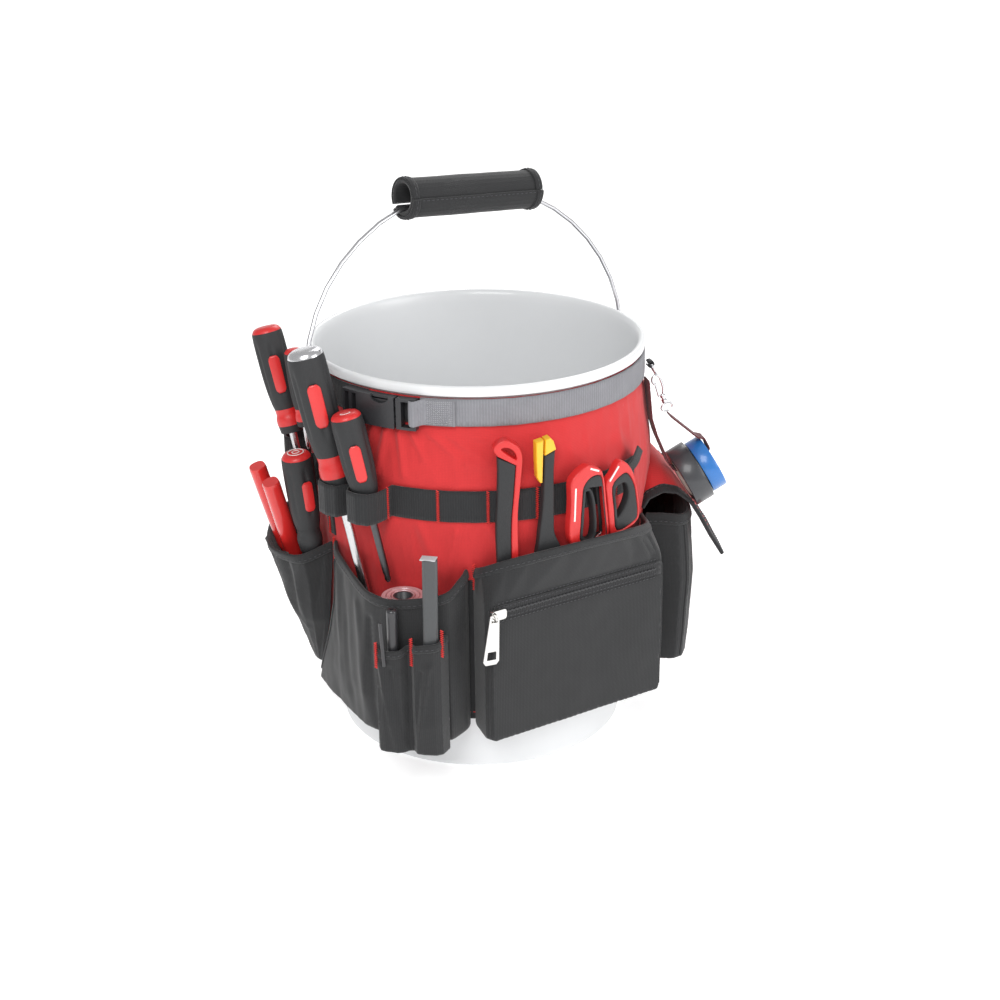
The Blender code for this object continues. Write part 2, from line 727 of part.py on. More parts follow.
def make_rolls():
    grey = material("grey_tape", (0.10, 0.10, 0.11), 0.4)
    blue = material("blue_tape", (0.02, 0.16, 0.62), 0.35)
    for name, radius, width, inset, finish in (
            ("tape_roll_grey", GREY_ROLL_R, GREY_WIDTH, 0.0, grey),
            ("tape_roll_blue", BLUE_ROLL_R, BLUE_WIDTH, GREY_WIDTH + 1.0, blue)):
        profile = [(ROLL_BORE_R, width), (radius, width), (radius, 0), (ROLL_BORE_R, 0)]
        turned(name, profile, roll_frame(inset), finish, 24, True)


def ribbon(name, path, width, thick, place, finish):
    """A flat strap along a path in the xy plane of its frame, its width along z."""
    points = [Vector((x, y, 0)) for x, y in path]
    sections = []
    for i, point in enumerate(points):
        d = (points[min(i + 1, len(points) - 1)] - points[max(i - 1, 0)]).normalized()
        n = Vector((-d.y, d.x, 0)) * thick / 2
        ring = [point - n, point + n, point + n, point - n]
        for corner, side in zip(ring, (-1, -1, 1, 1)):
            corner.z = side * width / 2
        sections.append([corner * MM for corner in ring])
    return loft(name, sections, finish, place)


def strap_path():
    """Down the inner face of the rolls, through their bore, up the outer face and to the hook."""
    along = Vector((math.cos(math.radians(ROLL_TILT)), math.sin(math.radians(ROLL_TILT))))
    up = Vector((-along.y, along.x))
    face = Vector(ROLL_FACE)
    bore = ROLL_BORE_R - 4.5
    reach = GREY_WIDTH + BLUE_WIDTH + 1.0
    turns = [face - along * 3.2 + up * 22, face - along * 2.6 + up * (bore + 3),
             face + along * 0.8 + up * bore, face + along * (reach - 1) + up * bore,
             face + along * (reach + 2.6) + up * (bore + 3), face + along * (reach + 2.8) + up * BLUE_ROLL_R,
             face + along * (reach - 2) + up * (BLUE_ROLL_R + 4)]
    return [(-2.6, -14), (1.0, -50), (6.0, -66)] + [tuple(p) for p in turns] + [(18.6, -49.5)]


def make_hanger():
    steel = material("hook_steel", STEEL, 0.3, 1.0)
    web = material("maroon_webbing", (0.09, 0.012, 0.018), 0.85)
    place = hanger_frame()
    tube("d_ring", [(0, 0, -6.5), (0, 0, 6.5), (2.0, -3.5, 7), (4.6, -8, 5), (5.6, -10, 0),
                    (4.6, -8, -5), (2.0, -3.5, -7)], 1.2, steel, place, sides=1, cyclic=True)
    turn = Matrix.Rotation(math.radians(90), 4, "Y")
    sections = arc_sections(2.2, 1.2, -60, 240, 8, place @ turn, 8)
    loft("d_ring_tab", sections, material("black_webbing", BLACK, 0.85))
    tube("snap_hook", [(6.6, -13.4, 0), (8.6, -17.5, 0), (10.5, -24, 0), (13.5, -35, 0), (17.2, -45.5, 0)],
         1.6, steel, place, sides=1)
    tube("hook_gate", [(5.2, -19, 0), (9.0, -32, 0)], 1.0, steel, place, sides=1)
    ribbon("tape_strap", strap_path(), 16, 1.4, place, web)


# ---- hand tools

def screwdriver(name, top, low, radius, length, shank_r, shank_length):
    """A turned grip with a blind bore for its shank. Top and low are points on its axis."""
    grip = material("tool_grip", BLACK, 0.6)
    steel = material("tool_steel", STEEL, 0.25, 1.0)
    place = axis_frame(top, low)
    bore = 30.0
    profile = [(0, 0), (radius * 0.66, -0.6), (radius * 0.9, -2.6), (radius, -8), (radius, -0.5 * length),
               (radius * 0.88, -0.70 * length), (radius * 0.70, -0.78 * length),
               (radius * 0.78, -0.92 * length), (radius * 0.72, -length), (shank_r + 0.3, -length),
               (shank_r + 0.3, -length + bore), (0, -length + bore)]
    turned(name + "_handle", profile, place, grip, 16)
    end = -length - shank_length
    top = -length + bore - 0.5
    shank = [(0, top), (shank_r, top), (shank_r, end + 2), (shank_r * 0.6, end), (0, end)]
    turned(name + "_shank", shank, place, steel, 10)


def make_screwdrivers():
    screwdriver("screwdriver_1", polar(-79.5, 188, 389), polar(-74, 171.5, 296), 14.0, 96, 3.0, 78)
    screwdriver("screwdriver_2", polar(-51.6, 186, 393), polar(-44.4, 171.0, 264), 16.5, 122, 3.8, 112)
    screwdriver("screwdriver_3", polar(-39, 178.5, 345), polar(-33.8, 171.5, 264), 14.0, 96, 3.0, 60)
    screwdriver("screwdriver_4", polar(-64, 178.5, 287.5), polar(-64, 168.5, 197), 14.0, 94, 3.0, 40)
    screwdriver("screwdriver_5", polar(-69.5, 170, 376), polar(-68, 164, 305), 9.0, 70, 2.2, 22)


def grip_outline(path, half_widths):
    """The outline of a tapering bar: its centre path, with a half width at each point."""
    left = []
    right = []
    points = [Vector((x, y, 0)) for x, y in path]
    for i, (point, half) in enumerate(zip(points, half_widths)):
        d = (points[min(i + 1, len(points) - 1)] - points[max(i - 1, 0)]).normalized()
        n = Vector((-d.y, d.x, 0)) * half
        left.append((point.x + n.x, point.y + n.y))
        right.append((point.x - n.x, point.y - n.y))
    return left + right[::-1]


def pliers_frame():
    """x runs from the near handle to the far one, y up the tool, with its origin on the pivot."""
    far_handle = polar(-75.5, 203, 262)
    near_handle = polar(-67.5, 199, 258)
    pivot = polar(-79, 170.5, 150)
    up = ((far_handle + near_handle) / 2 - pivot).normalized()
    across = far_handle - near_handle
    return frame(pivot, across - up * across.dot(up), up)


def plier_half(name, side, finish):
    """A lap joint: the jaw half lies on one side of the middle plane, the grip is full thickness."""
    place = pliers_frame()
    lap = place @ Matrix.Translation((0, 0, side * 2.15 * MM))
    arm = grip_outline([(-side * 3.4, -50), (-side * 5.0, -30), (0, 0), (side * 8.5, 26), (side * 9.5, 36)],
                       [1.6, 4.2, 8.5, 4.5, 4])
    half = plate(name, [arm], 4.0, lap, finish)
    path = [(side * 9.0, 30), (side * 11.5, 62), (side * 14.6, 92), (side * 15.6, 116)]
    grip = tube("grip", [(x, y, 0) for x, y in path], 7.6, finish, place)
    return union(half, [grip])


def make_pliers():
    red = material("red_grip", RED, 0.5)
    plier_half("pliers_far_half", 1, red)
    plier_half("pliers_near_half", -1, red)


def snips_frame():
    """x runs along the pail's side, y up the tool, with its origin on the pivot. The tool leans."""
    along = tangent(34)
    up = (polar(34, 85, 0) + Vector((0, 0, 1))).normalized()
    lean = math.radians(9.5)
    x_axis = along * math.cos(lean) + up * math.sin(lean)
    y_axis = up * math.cos(lean) - along * math.sin(lean)
    return frame(polar(42, 160.6, 180) + x_axis * 6 * MM, x_axis, y_axis)


FINGER_BOW = (
    [(-1.2, 104), (-3.8, 111), (-14.9, 119.3), (-19.1, 119.6), (-26.9, 117), (-34.9, 110.5), (-36.4, 94.5),
     (-38.4, 80.5), (-40.2, 71.9), (-41.4, 57.8), (-38.6, 48), (-31.5, 43.8), (-20.8, 40.9), (-5.6, 39.1),
     (-0.8, 43), (-0.8, 58.5)],
    [(-21, 98), (-23.5, 88), (-27, 70), (-29, 52), (-24, 47), (-18, 48), (-15, 62), (-15, 84), (-17.5, 96)])
THUMB_BOW = (
    [(1.2, 94), (8.3, 99.9), (14.3, 107.2), (18.9, 109.4), (25, 104.7), (30.8, 93.3), (33.1, 79.2),
     (34.2, 63.4), (34.5, 53), (31.8, 46), (26, 41.5), (7.9, 39.5), (1.6, 43), (1.2, 60)],
    [(10.5, 84), (14, 88), (21, 87.5), (24, 78), (22, 68.5), (16, 59.5), (11, 56), (8.5, 60)])


def snip_half(name, side, outlines, finish):
    place = snips_frame()
    bow = plate(name, outlines, 9.0, place, finish)
    lap = place @ Matrix.Translation((0, 0, side * 1.1 * MM))
    shoulder = plate("shoulder", [grip_outline([(side * 9, 44.5), (side * 5, 28), (0, 0)], [4.5, 4.5, 4])],
                     1.8, lap, finish)
    blade = plate("blade", [grip_outline([(0, 8), (0, 0), (-side * 2.5, -40), (-side * 0.4, -75)],
                                         [7, 7.5, 5, 0.8])], 1.8, lap, finish)
    return union(bow, [shoulder, blade])


def make_snips():
    finish = material("red_black_grip", (0.35, 0.04, 0.04), 0.5)
    snip_half("snips_right_half", 1, THUMB_BOW, finish)
    snip_half("snips_left_half", -1, FINGER_BOW, finish)


def make_stripper():
    grip = material("red_black_grip", (0.35, 0.04, 0.04), 0.5)
    steel = material("tool_steel", STEEL, 0.25, 1.0)
    place = frame(polar(7.6, 160.2, 219), tangent(8), polar(9.4, 166.2, 320) - polar(7.6, 160.2, 219))
    outline = [(-8.0, -30), (-9.2, 0), (-10.0, 28), (-9.0, 55), (-8.5, 78), (-9.0, 95), (-12.0, 100),
               (-12.0, 104), (-8.6, 107.4), (-4.3, 109.3), (-1.0, 109.3), (4.3, 106), (9.5, 101.4),
               (11.8, 94), (11.6, 84), (10.0, 64), (8.5, 46), (8.3, 27), (9.0, 0), (8.0, -30)]
    hole = [(-5.8, 101), (-3.1, 102.8), (2.1, 101.3), (5.8, 96.9), (6.8, 91.5), (1.0, 95.0)]
    plate("stripper_handle", [outline, hole], 8.8, place, grip)
    plate("stripper_blade", [grip_outline([(0, -30.4), (0, -70), (0, -105)], [6, 8, 3])], 3.0, place, steel)


def make_knife():
    grip = material("tool_grip", BLACK, 0.6)
    steel = material("tool_steel", STEEL, 0.25, 1.0)
    yellow = material("yellow_plastic", (0.85, 0.50, 0.02), 0.4)
    place = frame(polar(19.8, 159.6, 219), tangent(20), polar(20.8, 166.3, 320) - polar(19.8, 159.6, 219))
    outline = [(-7.0, -30), (-9.6, -4), (-8.2, 9.6), (-7.1, 23.6), (-5.3, 42), (-4.6, 60.5), (-4.4, 106.4),
               (0.1, 107.6), (2.9, 104.2), (5.2, 96.7), (4.6, 86), (4.4, 73), (5.2, 50), (5.8, 31),
               (6.2, 21.7), (8.0, 14.9), (13.0, 4.0), (13.6, -4), (9.0, -30)]
    plate("knife_handle", [outline], 8.2, place, grip)
    lever = [(-12.6, 104.8), (-6.0, 105.8), (-6.0, 67.5), (-7.9, 67.5), (-10.8, 72.5), (-11.9, 88)]
    plate("knife_release", [lever], 7.0, place, yellow)
    plate("knife_blade", [grip_outline([(0, -30.4), (0, -70), (0, -110)], [6, 6, 1.5])], 2.0, place, steel)


def make_small_contents():
    dark = material("pen_plastic", (0.06, 0.06, 0.065), 0.45)
    grey = material("pencil_grey", (0.13, 0.135, 0.14), 0.5)
    spool = material("spool_metal", (0.55, 0.42, 0.42), 0.3, 0.6)
    pen_r = pen_wall(-22.6, 120) + 6.6
    pen = axis_frame(polar(-22.2, pen_r, 186), polar(-22.6, pen_r - 0.4, 80))
    barrel = [(0, 0), (3.2, -0.5), (4.3, -2.5), (4.3, -100), (2.0, -112), (0, -113)]
    turned("marker_pen", barrel, pen, dark, 14)
    clip = face_frame(-24.2, pen_wall(-24.2, 120) + 14.9, 176)
    plate("pen_clip", [grip_outline([(0, 0), (0.8, -20), (2.0, -40)], [1.8, 1.8, 2.2])], 1.6, clip, dark)
    pencil_r = pen_wall(-13.8, 120) + 7.2
    pencil = axis_frame(polar(-12.8, pencil_r, 234), polar(-13.4, pencil_r - 0.6, 80))
    bar = plate("flat_pencil", [rounded(13, 9.5, 2.2, steps=1)], 160,
                pencil @ Matrix.Translation((0, 0, -80 * MM)), grey)
    smooth(bar, 20)
    disc = axis_frame(polar(-23.4, 171.7, 184), polar(-23.4, 171.7, 120))
    rim = SPOOL_R
    core = SPOOL_R - 4
    turned("solder_spool", [(8, 0), (rim, 0), (rim, -3), (core, -4), (core, -36), (rim, -37),
                            (rim, -40), (8, -40)], disc, spool, 24, True)


clear_scene()
parts = new_collection("tool_bucket_organizer")
cutters = new_collection("cutters")
make_pail()
make_bail()
make_skirt()
make_top_strap()
make_buckle()
make_bands()
make_left_pockets()
make_zip_pocket()
make_right_pockets()
make_flap()
make_rolls()
make_hanger()
make_screwdrivers()
make_pliers()
make_snips()
make_stripper()
make_knife()
make_small_contents()
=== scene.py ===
"""Looks of the tool bucket organizer: cloth, webbing, stitching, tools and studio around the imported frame.

Numbers given to polar, at, lathe, slab and oval are millimetres; the scene itself is in metres. Azimuth 0
is the front, -Y, and grows towards +X, in degrees."""

import json
import math

import bmesh
import bpy
import numpy as np
from mathutils import Matrix, Vector, noise
from mathutils.bvhtree import BVHTree


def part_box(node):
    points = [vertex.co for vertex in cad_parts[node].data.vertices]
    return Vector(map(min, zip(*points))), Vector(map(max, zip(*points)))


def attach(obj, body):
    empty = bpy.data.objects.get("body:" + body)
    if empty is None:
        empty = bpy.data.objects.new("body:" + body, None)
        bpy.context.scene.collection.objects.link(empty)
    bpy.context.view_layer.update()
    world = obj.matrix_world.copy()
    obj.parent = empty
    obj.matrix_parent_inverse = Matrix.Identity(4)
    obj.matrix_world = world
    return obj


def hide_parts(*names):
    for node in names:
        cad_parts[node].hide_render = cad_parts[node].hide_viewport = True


MM = 0.001
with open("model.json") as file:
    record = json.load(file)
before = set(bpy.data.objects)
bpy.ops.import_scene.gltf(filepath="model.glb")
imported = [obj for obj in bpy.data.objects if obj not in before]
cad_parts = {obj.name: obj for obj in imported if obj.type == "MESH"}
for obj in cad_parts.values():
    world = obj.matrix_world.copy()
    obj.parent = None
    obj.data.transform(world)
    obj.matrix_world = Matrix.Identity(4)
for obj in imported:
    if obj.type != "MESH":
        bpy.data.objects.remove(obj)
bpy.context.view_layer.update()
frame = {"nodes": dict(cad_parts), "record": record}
RECORD = frame["record"]
JOINTS = {joint["name"]: joint for joint in RECORD["behaviour"]["joints"]}
BODIES = {node: body for body, nodes in RECORD["behaviour"]["bodies"].items() for node in nodes}

RED = (0.58, 0.022, 0.024)
BLACK = (0.016, 0.0163, 0.0175)
GREY = (0.24, 0.24, 0.26)
BARTACK_RED = (0.72, 0.035, 0.03)
CAMERA_PLACE = (-0.0210, -1.6042, 0.8586)
BAND_STITCH_STEP = 15.5
BAND_STITCH_FROM = -29.0
REAR_STITCH_FROM = -99.0
TOOTH_STEP = 1.9
CLOTH_RADIUS = 152
SKIRT_INSIDE = 148
SKIRT_TOP = 332
UV_RADIUS = 0.16
CRUMPLE_SEEDS = (1.3, 17.9, 33.1)


# ---- places

def polar(azimuth, radius, z):
    a = math.radians(azimuth)
    return Vector((radius * math.sin(a), -radius * math.cos(a), z)) * MM


def tangent(azimuth):
    a = math.radians(azimuth)
    return Vector((math.cos(a), math.sin(a), 0))


def frame_of(origin, x_axis, y_axis):
    """A place whose x is along x_axis, whose y leans towards y_axis, and whose z is their normal."""
    x = Vector(x_axis).normalized()
    z = x.cross(Vector(y_axis)).normalized()
    y = z.cross(x)
    m = Matrix((x, y, z)).transposed().to_4x4()
    m.translation = Vector(origin)
    return m


def joint_axis(name):
    return Vector(JOINTS[name]["axis"]).normalized()


def joint_place(name):
    return Vector(JOINTS[name]["pos_m"])


def at(place, x, y, z=0.0):
    """A point given in a place's own axes, in millimetres."""
    return place @ (Vector((x, y, z)) * MM)


def normal_of(place):
    return place.to_3x3() @ Vector((0, 0, 1))


def read(items, name, width=3, kind=float):
    """One attribute of many mesh items, as rows of an array."""
    values = np.empty(len(items) * width, kind)
    items.foreach_get(name, values)
    return values.reshape(-1, width) if width > 1 else values


def local_points(node, place):
    """A node's vertices in a place's own axes, in millimetres."""
    m = np.array(place.inverted())
    return (read(frame["nodes"][node].data.vertices, "co") @ m[:3, :3].T + m[:3, 3]) / MM


def local_extent(node, place):
    """Lowest and highest corner of a node in a place's own axes, in millimetres."""
    local = local_points(node, place)
    return Vector(local.min(0)), Vector(local.max(0))


def node_frame(node, x_axis, y_axis):
    """A place with the given axes and its origin in the middle of the node."""
    place = frame_of((0, 0, 0), x_axis, y_axis)
    low, high = local_extent(node, place)
    place.translation = place.to_3x3() @ ((low + high) / 2 * MM)
    return place


def axis_frame(node, axis):
    """z runs up the node's axis, with its origin at the top. x points at the viewer's side."""
    z = Vector(axis).normalized()
    x = Vector((0.25, -1, 0)).cross(z).cross(z).normalized() * -1
    place = frame_of((0, 0, 0), x, z.cross(x))
    low, high = local_extent(node, place)
    top = Vector(((low.x + high.x) / 2, (low.y + high.y) / 2, high.z)) * MM
    place.translation = place.to_3x3() @ top
    return place, high.z - low.z


# ---- finishes

def new_material(name):
    made = bpy.data.materials.new(name)
    made.use_nodes = True
    return made, made.node_tree, made.node_tree.nodes["Principled BSDF"]


def add_node(tree, kind, inputs=(), **settings):
    """A new shader node with its settings and the values of some of its inputs."""
    node = tree.nodes.new("ShaderNode" + kind)
    for key, value in settings.items():
        setattr(node, key, value)
    for key, value in dict(inputs).items():
        node.inputs[key].default_value = value
    return node


def tint(tree, shader, colour, contrast, factor):
    """The base colour runs from darker to lighter than the colour as the factor grows."""
    dark = tuple(c * (1 - contrast) for c in colour) + (1,)
    light = tuple(min(c * (1 + contrast), 1) for c in colour) + (1,)
    tone = add_node(tree, "Mix", {"A": dark, "B": light}, data_type="RGBA")
    tree.links.new(factor, tone.inputs["Factor"])
    tree.links.new(tone.outputs["Result"], shader.inputs["Base Color"])


def emboss(tree, shader, height, strength, distance):
    relief = add_node(tree, "Bump", {"Strength": strength, "Distance": distance})
    tree.links.new(height, relief.inputs["Height"])
    tree.links.new(relief.outputs["Normal"], shader.inputs["Normal"])


def finish(name, colour, roughness, metallic=0.0, grain=0.08, scale=700.0, bump=0.05, coat=0.0):
    """A moulded, painted or metal surface: its tone wanders a little and its skin is grained."""
    made, tree, shader = new_material(name)
    spots = add_node(tree, "TexNoise", {"Scale": scale, "Detail": 4})
    tree.links.new(add_node(tree, "TexCoord").outputs["Object"], spots.inputs["Vector"])
    tint(tree, shader, colour, grain, spots.outputs["Fac"])
    emboss(tree, shader, spots.outputs["Fac"], bump, 0.001)
    shader.inputs["Roughness"].default_value = roughness
    shader.inputs["Metallic"].default_value = metallic
    shader.inputs["Coat Weight"].default_value = coat
    return made


def wave(tree, direction, period, place):
    bands = add_node(tree, "TexWave", {"Scale": math.pi / 10 / period, "Distortion": 0.4, "Detail": 1.0},
                     bands_direction=direction)
    tree.links.new(place.outputs["UV"], bands.inputs["Vector"])
    return bands.outputs["Fac"]


def woven(name, colour, warp=1.3, weft=1.3, contrast=0.22, bump=0.35):
    """Woven cloth on a UV map in millimetres: two crossing sets of threads over a faint mottle."""
    made, tree, shader = new_material(name)
    place = add_node(tree, "TexCoord")
    threads = add_node(tree, "Math", operation="MULTIPLY")
    tree.links.new(wave(tree, "X", warp, place), threads.inputs[0])
    tree.links.new(wave(tree, "Y", weft, place), threads.inputs[1])
    mottle = add_node(tree, "TexNoise", {"Scale": 0.06, "Detail": 6})
    tree.links.new(place.outputs["UV"], mottle.inputs["Vector"])
    spread = add_node(tree, "Math", {1: 0.5}, operation="MULTIPLY")
    tree.links.new(mottle.outputs["Fac"], spread.inputs[0])
    blend = add_node(tree, "Math", {1: 0.65}, operation="MULTIPLY_ADD")
    tree.links.new(threads.outputs[0], blend.inputs[0])
    tree.links.new(spread.outputs[0], blend.inputs[2])
    tint(tree, shader, colour, contrast, blend.outputs[0])
    emboss(tree, shader, threads.outputs[0], bump, 0.0004)
    shader.inputs["Roughness"].default_value = 0.82
    shader.inputs["Sheen Weight"].default_value = 0.15
    return made


RED_CLOTH = woven("red_cloth", RED, contrast=0.12, bump=0.25)
BLACK_CLOTH = woven("black_cloth", BLACK, contrast=0.3)
GREY_WEB = woven("grey_web", GREY, 2.6, 1.1, 0.28, 0.8)
BLACK_WEB = woven("black_web", (0.013, 0.0135, 0.015), 2.2, 1.0, 0.3, 0.6)
MAROON_WEB = woven("maroon_web", (0.10, 0.012, 0.018), 2.0, 1.0, 0.4, 0.5)
BINDING = woven("binding", (0.014, 0.014, 0.0155), 1.8, 0.9, 0.3, 0.6)
PATCH_WEB = woven("patch_web", (0.26, 0.26, 0.28), 1.8, 1.8, 0.5, 1.0)
RED_THREAD = finish("red_thread", BARTACK_RED, 0.6, grain=0.25, scale=1500, bump=0.4)
BLACK_THREAD = finish("black_thread", (0.055, 0.055, 0.06), 0.6, grain=0.2, scale=1500)
GREY_THREAD = finish("grey_thread", (0.30, 0.30, 0.32), 0.6, grain=0.3, scale=1500)
WHITE_PLASTIC = finish("white_plastic", (0.74, 0.75, 0.76), 0.32, grain=0.012, scale=90, bump=0.02, coat=0.2)
BUCKLE_PLASTIC = finish("buckle_plastic", (0.028, 0.028, 0.031), 0.42, grain=0.15, bump=0.1)
RUBBER = finish("black_rubber", (0.020, 0.0205, 0.022), 0.62, grain=0.2, scale=900, bump=0.25)
RED_RUBBER = finish("red_rubber", (0.62, 0.022, 0.022), 0.42, grain=0.08, scale=600, bump=0.1, coat=0.15)
RED_GLOSS = finish("red_gloss", (0.66, 0.024, 0.022), 0.26, grain=0.06, scale=400, coat=0.5)
LABEL_RED = finish("label_red", (0.66, 0.026, 0.026), 0.34, grain=0.05, coat=0.3)
STEEL = finish("tool_steel", (0.60, 0.60, 0.61), 0.26, 1.0, 0.12, 500)
DARK_STEEL = finish("dark_steel", (0.10, 0.10, 0.105), 0.36, 1.0, 0.2, 500)
CHROME = finish("chrome", (0.74, 0.74, 0.76), 0.24, 1.0, 0.05, 400, 0.02)
ZIP_METAL = finish("zip_metal", (0.74, 0.73, 0.71), 0.28, 1.0, 0.1, 900, 0.15)
WIRE_STEEL = finish("wire_steel", (0.66, 0.66, 0.68), 0.3, 1.0, 0.1, 800, 0.06)
YELLOW = finish("yellow_plastic", (0.86, 0.48, 0.02), 0.34, grain=0.06, coat=0.3)
# Pale plastic for the driver emblems; on the snips it is painted highlight along the lit bevel edges.
PALE_PLASTIC_AND_HIGHLIGHT = finish("pale_plastic_and_highlight", (0.80, 0.76, 0.74), 0.4, grain=0.05)
BLUE_TAPE = finish("blue_tape", (0.022, 0.16, 0.48), 0.32, grain=0.1, scale=500, coat=0.3)
GREY_TAPE = finish("grey_tape", (0.042, 0.044, 0.049), 0.36, grain=0.12, scale=500, coat=0.2)
TAPE_CORE = finish("tape_core", (0.50, 0.47, 0.42), 0.7, grain=0.1)
PENCIL_GREY = finish("pencil_grey", (0.055, 0.058, 0.061), 0.38, grain=0.12, scale=500, coat=0.2)
PENCIL_END = finish("pencil_end", (0.52, 0.53, 0.54), 0.5, grain=0.15)
PEN_BLACK = finish("pen_black", (0.03, 0.03, 0.033), 0.3, grain=0.15, coat=0.3)
SPOOL_PINK = finish("spool_label", (0.56, 0.29, 0.30), 0.45, grain=0.2, scale=260)
NYLON = finish("zip_nylon", (0.028, 0.028, 0.03), 0.4, grain=0.2)


# ---- building

def show(name, mesh, material):
    made = bpy.data.objects.new(name, mesh)
    bpy.context.scene.collection.objects.link(made)
    mesh.materials.clear()
    mesh.materials.append(material)
    mesh.polygons.foreach_set("use_smooth", [True] * len(mesh.polygons))
    mesh.update()
    return made


def wear(made, node, stands_for=()):
    """The piece rides with the node's body and may stand for CAD nodes, which it hides."""
    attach(made, BODIES[node])
    if stands_for:
        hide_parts(*stands_for)
    return made


def grid(name, rows, material, closed=False, caps=False):
    """A surface through rows of points. Closed joins each row's ends; caps fill the first and last row."""
    count = len(rows[0])
    points = [point for row in rows for point in row]
    faces = []
    around = count if closed else count - 1
    for i in range(len(rows) - 1):
        for j in range(around):
            k = (j + 1) % count
            faces.append((i * count + j, i * count + k, (i + 1) * count + k, (i + 1) * count + j))
    if caps:
        faces.append(tuple(range(count))[::-1])
        faces.append(tuple((len(rows) - 1) * count + j for j in range(count)))
    mesh = bpy.data.meshes.new(name)
    mesh.from_pydata(points, [], faces)
    return show(name, mesh, material)


def thicken(made, thickness, offset=-1.0):
    """Gives a sheet its thickness, in millimetres."""
    thick = made.modifiers.new("thickness", "SOLIDIFY")
    thick.thickness = thickness * MM
    thick.offset = offset
    return made


def sharpen(made, angle=40):
    """Keeps edges over the angle crisp on a smooth-shaded piece."""
    made.data.set_sharp_from_angle(angle=math.radians(angle))
    return made


def lathe(name, profile, place, material, steps=64, shape=None):
    """A turned piece. Profile points are (radius, height) in millimetres, from the top down on the outside.
    Shape may scale the radius by angle and height."""
    rows = []
    for r, h in profile:
        row = []
        for i in range(steps):
            a = 2 * math.pi * i / steps
            k = shape(a, h) if shape else 1.0
            row.append(at(place, r * k * math.cos(a), r * k * math.sin(a), h))
        rows.append(row)
    return sharpen(grid(name, rows[::-1], material, closed=True))


def spline(points, per_span=6, closed=False):
    """Points on a Catmull-Rom curve through the given points."""
    count = len(points)
    spans = count if closed else count - 1
    smooth = []
    for i in range(spans):
        if closed:
            a, b, c, d = (points[(i + k) % count] for k in (-1, 0, 1, 2))
        else:
            a, b, c, d = (points[min(max(i + k, 0), count - 1)] for k in (-1, 0, 1, 2))
        for j in range(per_span):
            t = j / per_span
            smooth.append(tuple(
                0.5 * (2 * q + (r - p) * t + (2 * p - 5 * q + 4 * r - s) * t * t
                       + (3 * q - p - 3 * r + s) * t ** 3)
                for p, q, r, s in zip(a, b, c, d)))
    if not closed:
        smooth.append(tuple(points[-1]))
    return smooth


def oval(half_width, half_height, power=2.0, count=16):
    """A closed section, from an ellipse at power 2 towards a rounded box above it."""
    ring = []
    for i in range(count):
        a = 2 * math.pi * i / count
        c, s = math.cos(a), math.sin(a)
        ring.append((half_width * math.copysign(abs(c) ** (2 / power), c),
                     half_height * math.copysign(abs(s) ** (2 / power), s)))
    return ring


def sweep(name, path, section, material, ups, closed=False, sizes=None):
    """A section carried along a path of world points. Its y follows ups, one direction per point."""
    path = [Vector(p) for p in path]
    rows = []
    last = len(path) - 1
    for i, point in enumerate(path):
        if closed:
            ahead = path[(i + 1) % len(path)] - path[i - 1]
        else:
            ahead = path[min(i + 1, last)] - path[max(i - 1, 0)]
        side = ahead.cross(Vector(ups[i])).normalized()
        up = side.cross(ahead).normalized()
        size = sizes[i] if sizes else 1.0
        rows.append([point + (side * x + up * y) * size * MM for x, y in section])
    if closed:
        rows.append(rows[0])
    made = grid(name, [row[::-1] for row in rows], material, closed=True, caps=not closed)
    if closed:
        weld(made)
    return sharpen(made, 50)


def weld(made):
    bm = bmesh.new()
    bm.from_mesh(made.data)
    bmesh.ops.remove_doubles(bm, verts=bm.verts, dist=1e-5)
    bmesh.ops.recalc_face_normals(bm, faces=bm.faces)
    bm.to_mesh(made.data)
    bm.free()
    return made


def slab(name, outlines, thickness, place, material, edge=1.0, rings=3):
    """A flat moulded piece with rounded edges, from closed outlines in the place's xy plane."""
    curve = bpy.data.curves.new(name, "CURVE")
    curve.dimensions = "2D"
    curve.fill_mode = "BOTH"
    curve.extrude = (thickness / 2 - edge) * MM
    curve.bevel_depth = edge * MM
    curve.bevel_resolution = rings
    curve.offset = -edge * MM
    for outline in outlines:
        line = curve.splines.new("POLY")
        line.points.add(len(outline) - 1)
        for point, (x, y) in zip(line.points, outline):
            point.co = (x * MM, y * MM, 0, 1)
        line.use_cyclic_u = True
    holder = bpy.data.objects.new(name, curve)
    bpy.context.scene.collection.objects.link(holder)
    bpy.context.view_layer.update()
    mesh = bpy.data.meshes.new_from_object(holder.evaluated_get(bpy.context.evaluated_depsgraph_get()))
    bpy.data.objects.remove(holder)
    bpy.data.curves.remove(curve)
    mesh.transform(place)
    return sharpen(weld(show(name, mesh, material)), 35)


def wire_ring(name, place, centre, size, count, half, material, node):
    """A closed oval of wire in a place's xy plane: its centre, its half sizes and its wire's half sizes."""
    path = []
    for k in range(count):
        a = 2 * math.pi * k / count
        x = centre[0] + size[0] * math.cos(a)
        path.append(at(place, x, centre[1] + size[1] * math.sin(a), centre[2]))
    section = oval(*half, count=8)
    return wear(sweep(name, path, section, material, [normal_of(place)] * count, closed=True), node)


# ---- cloth

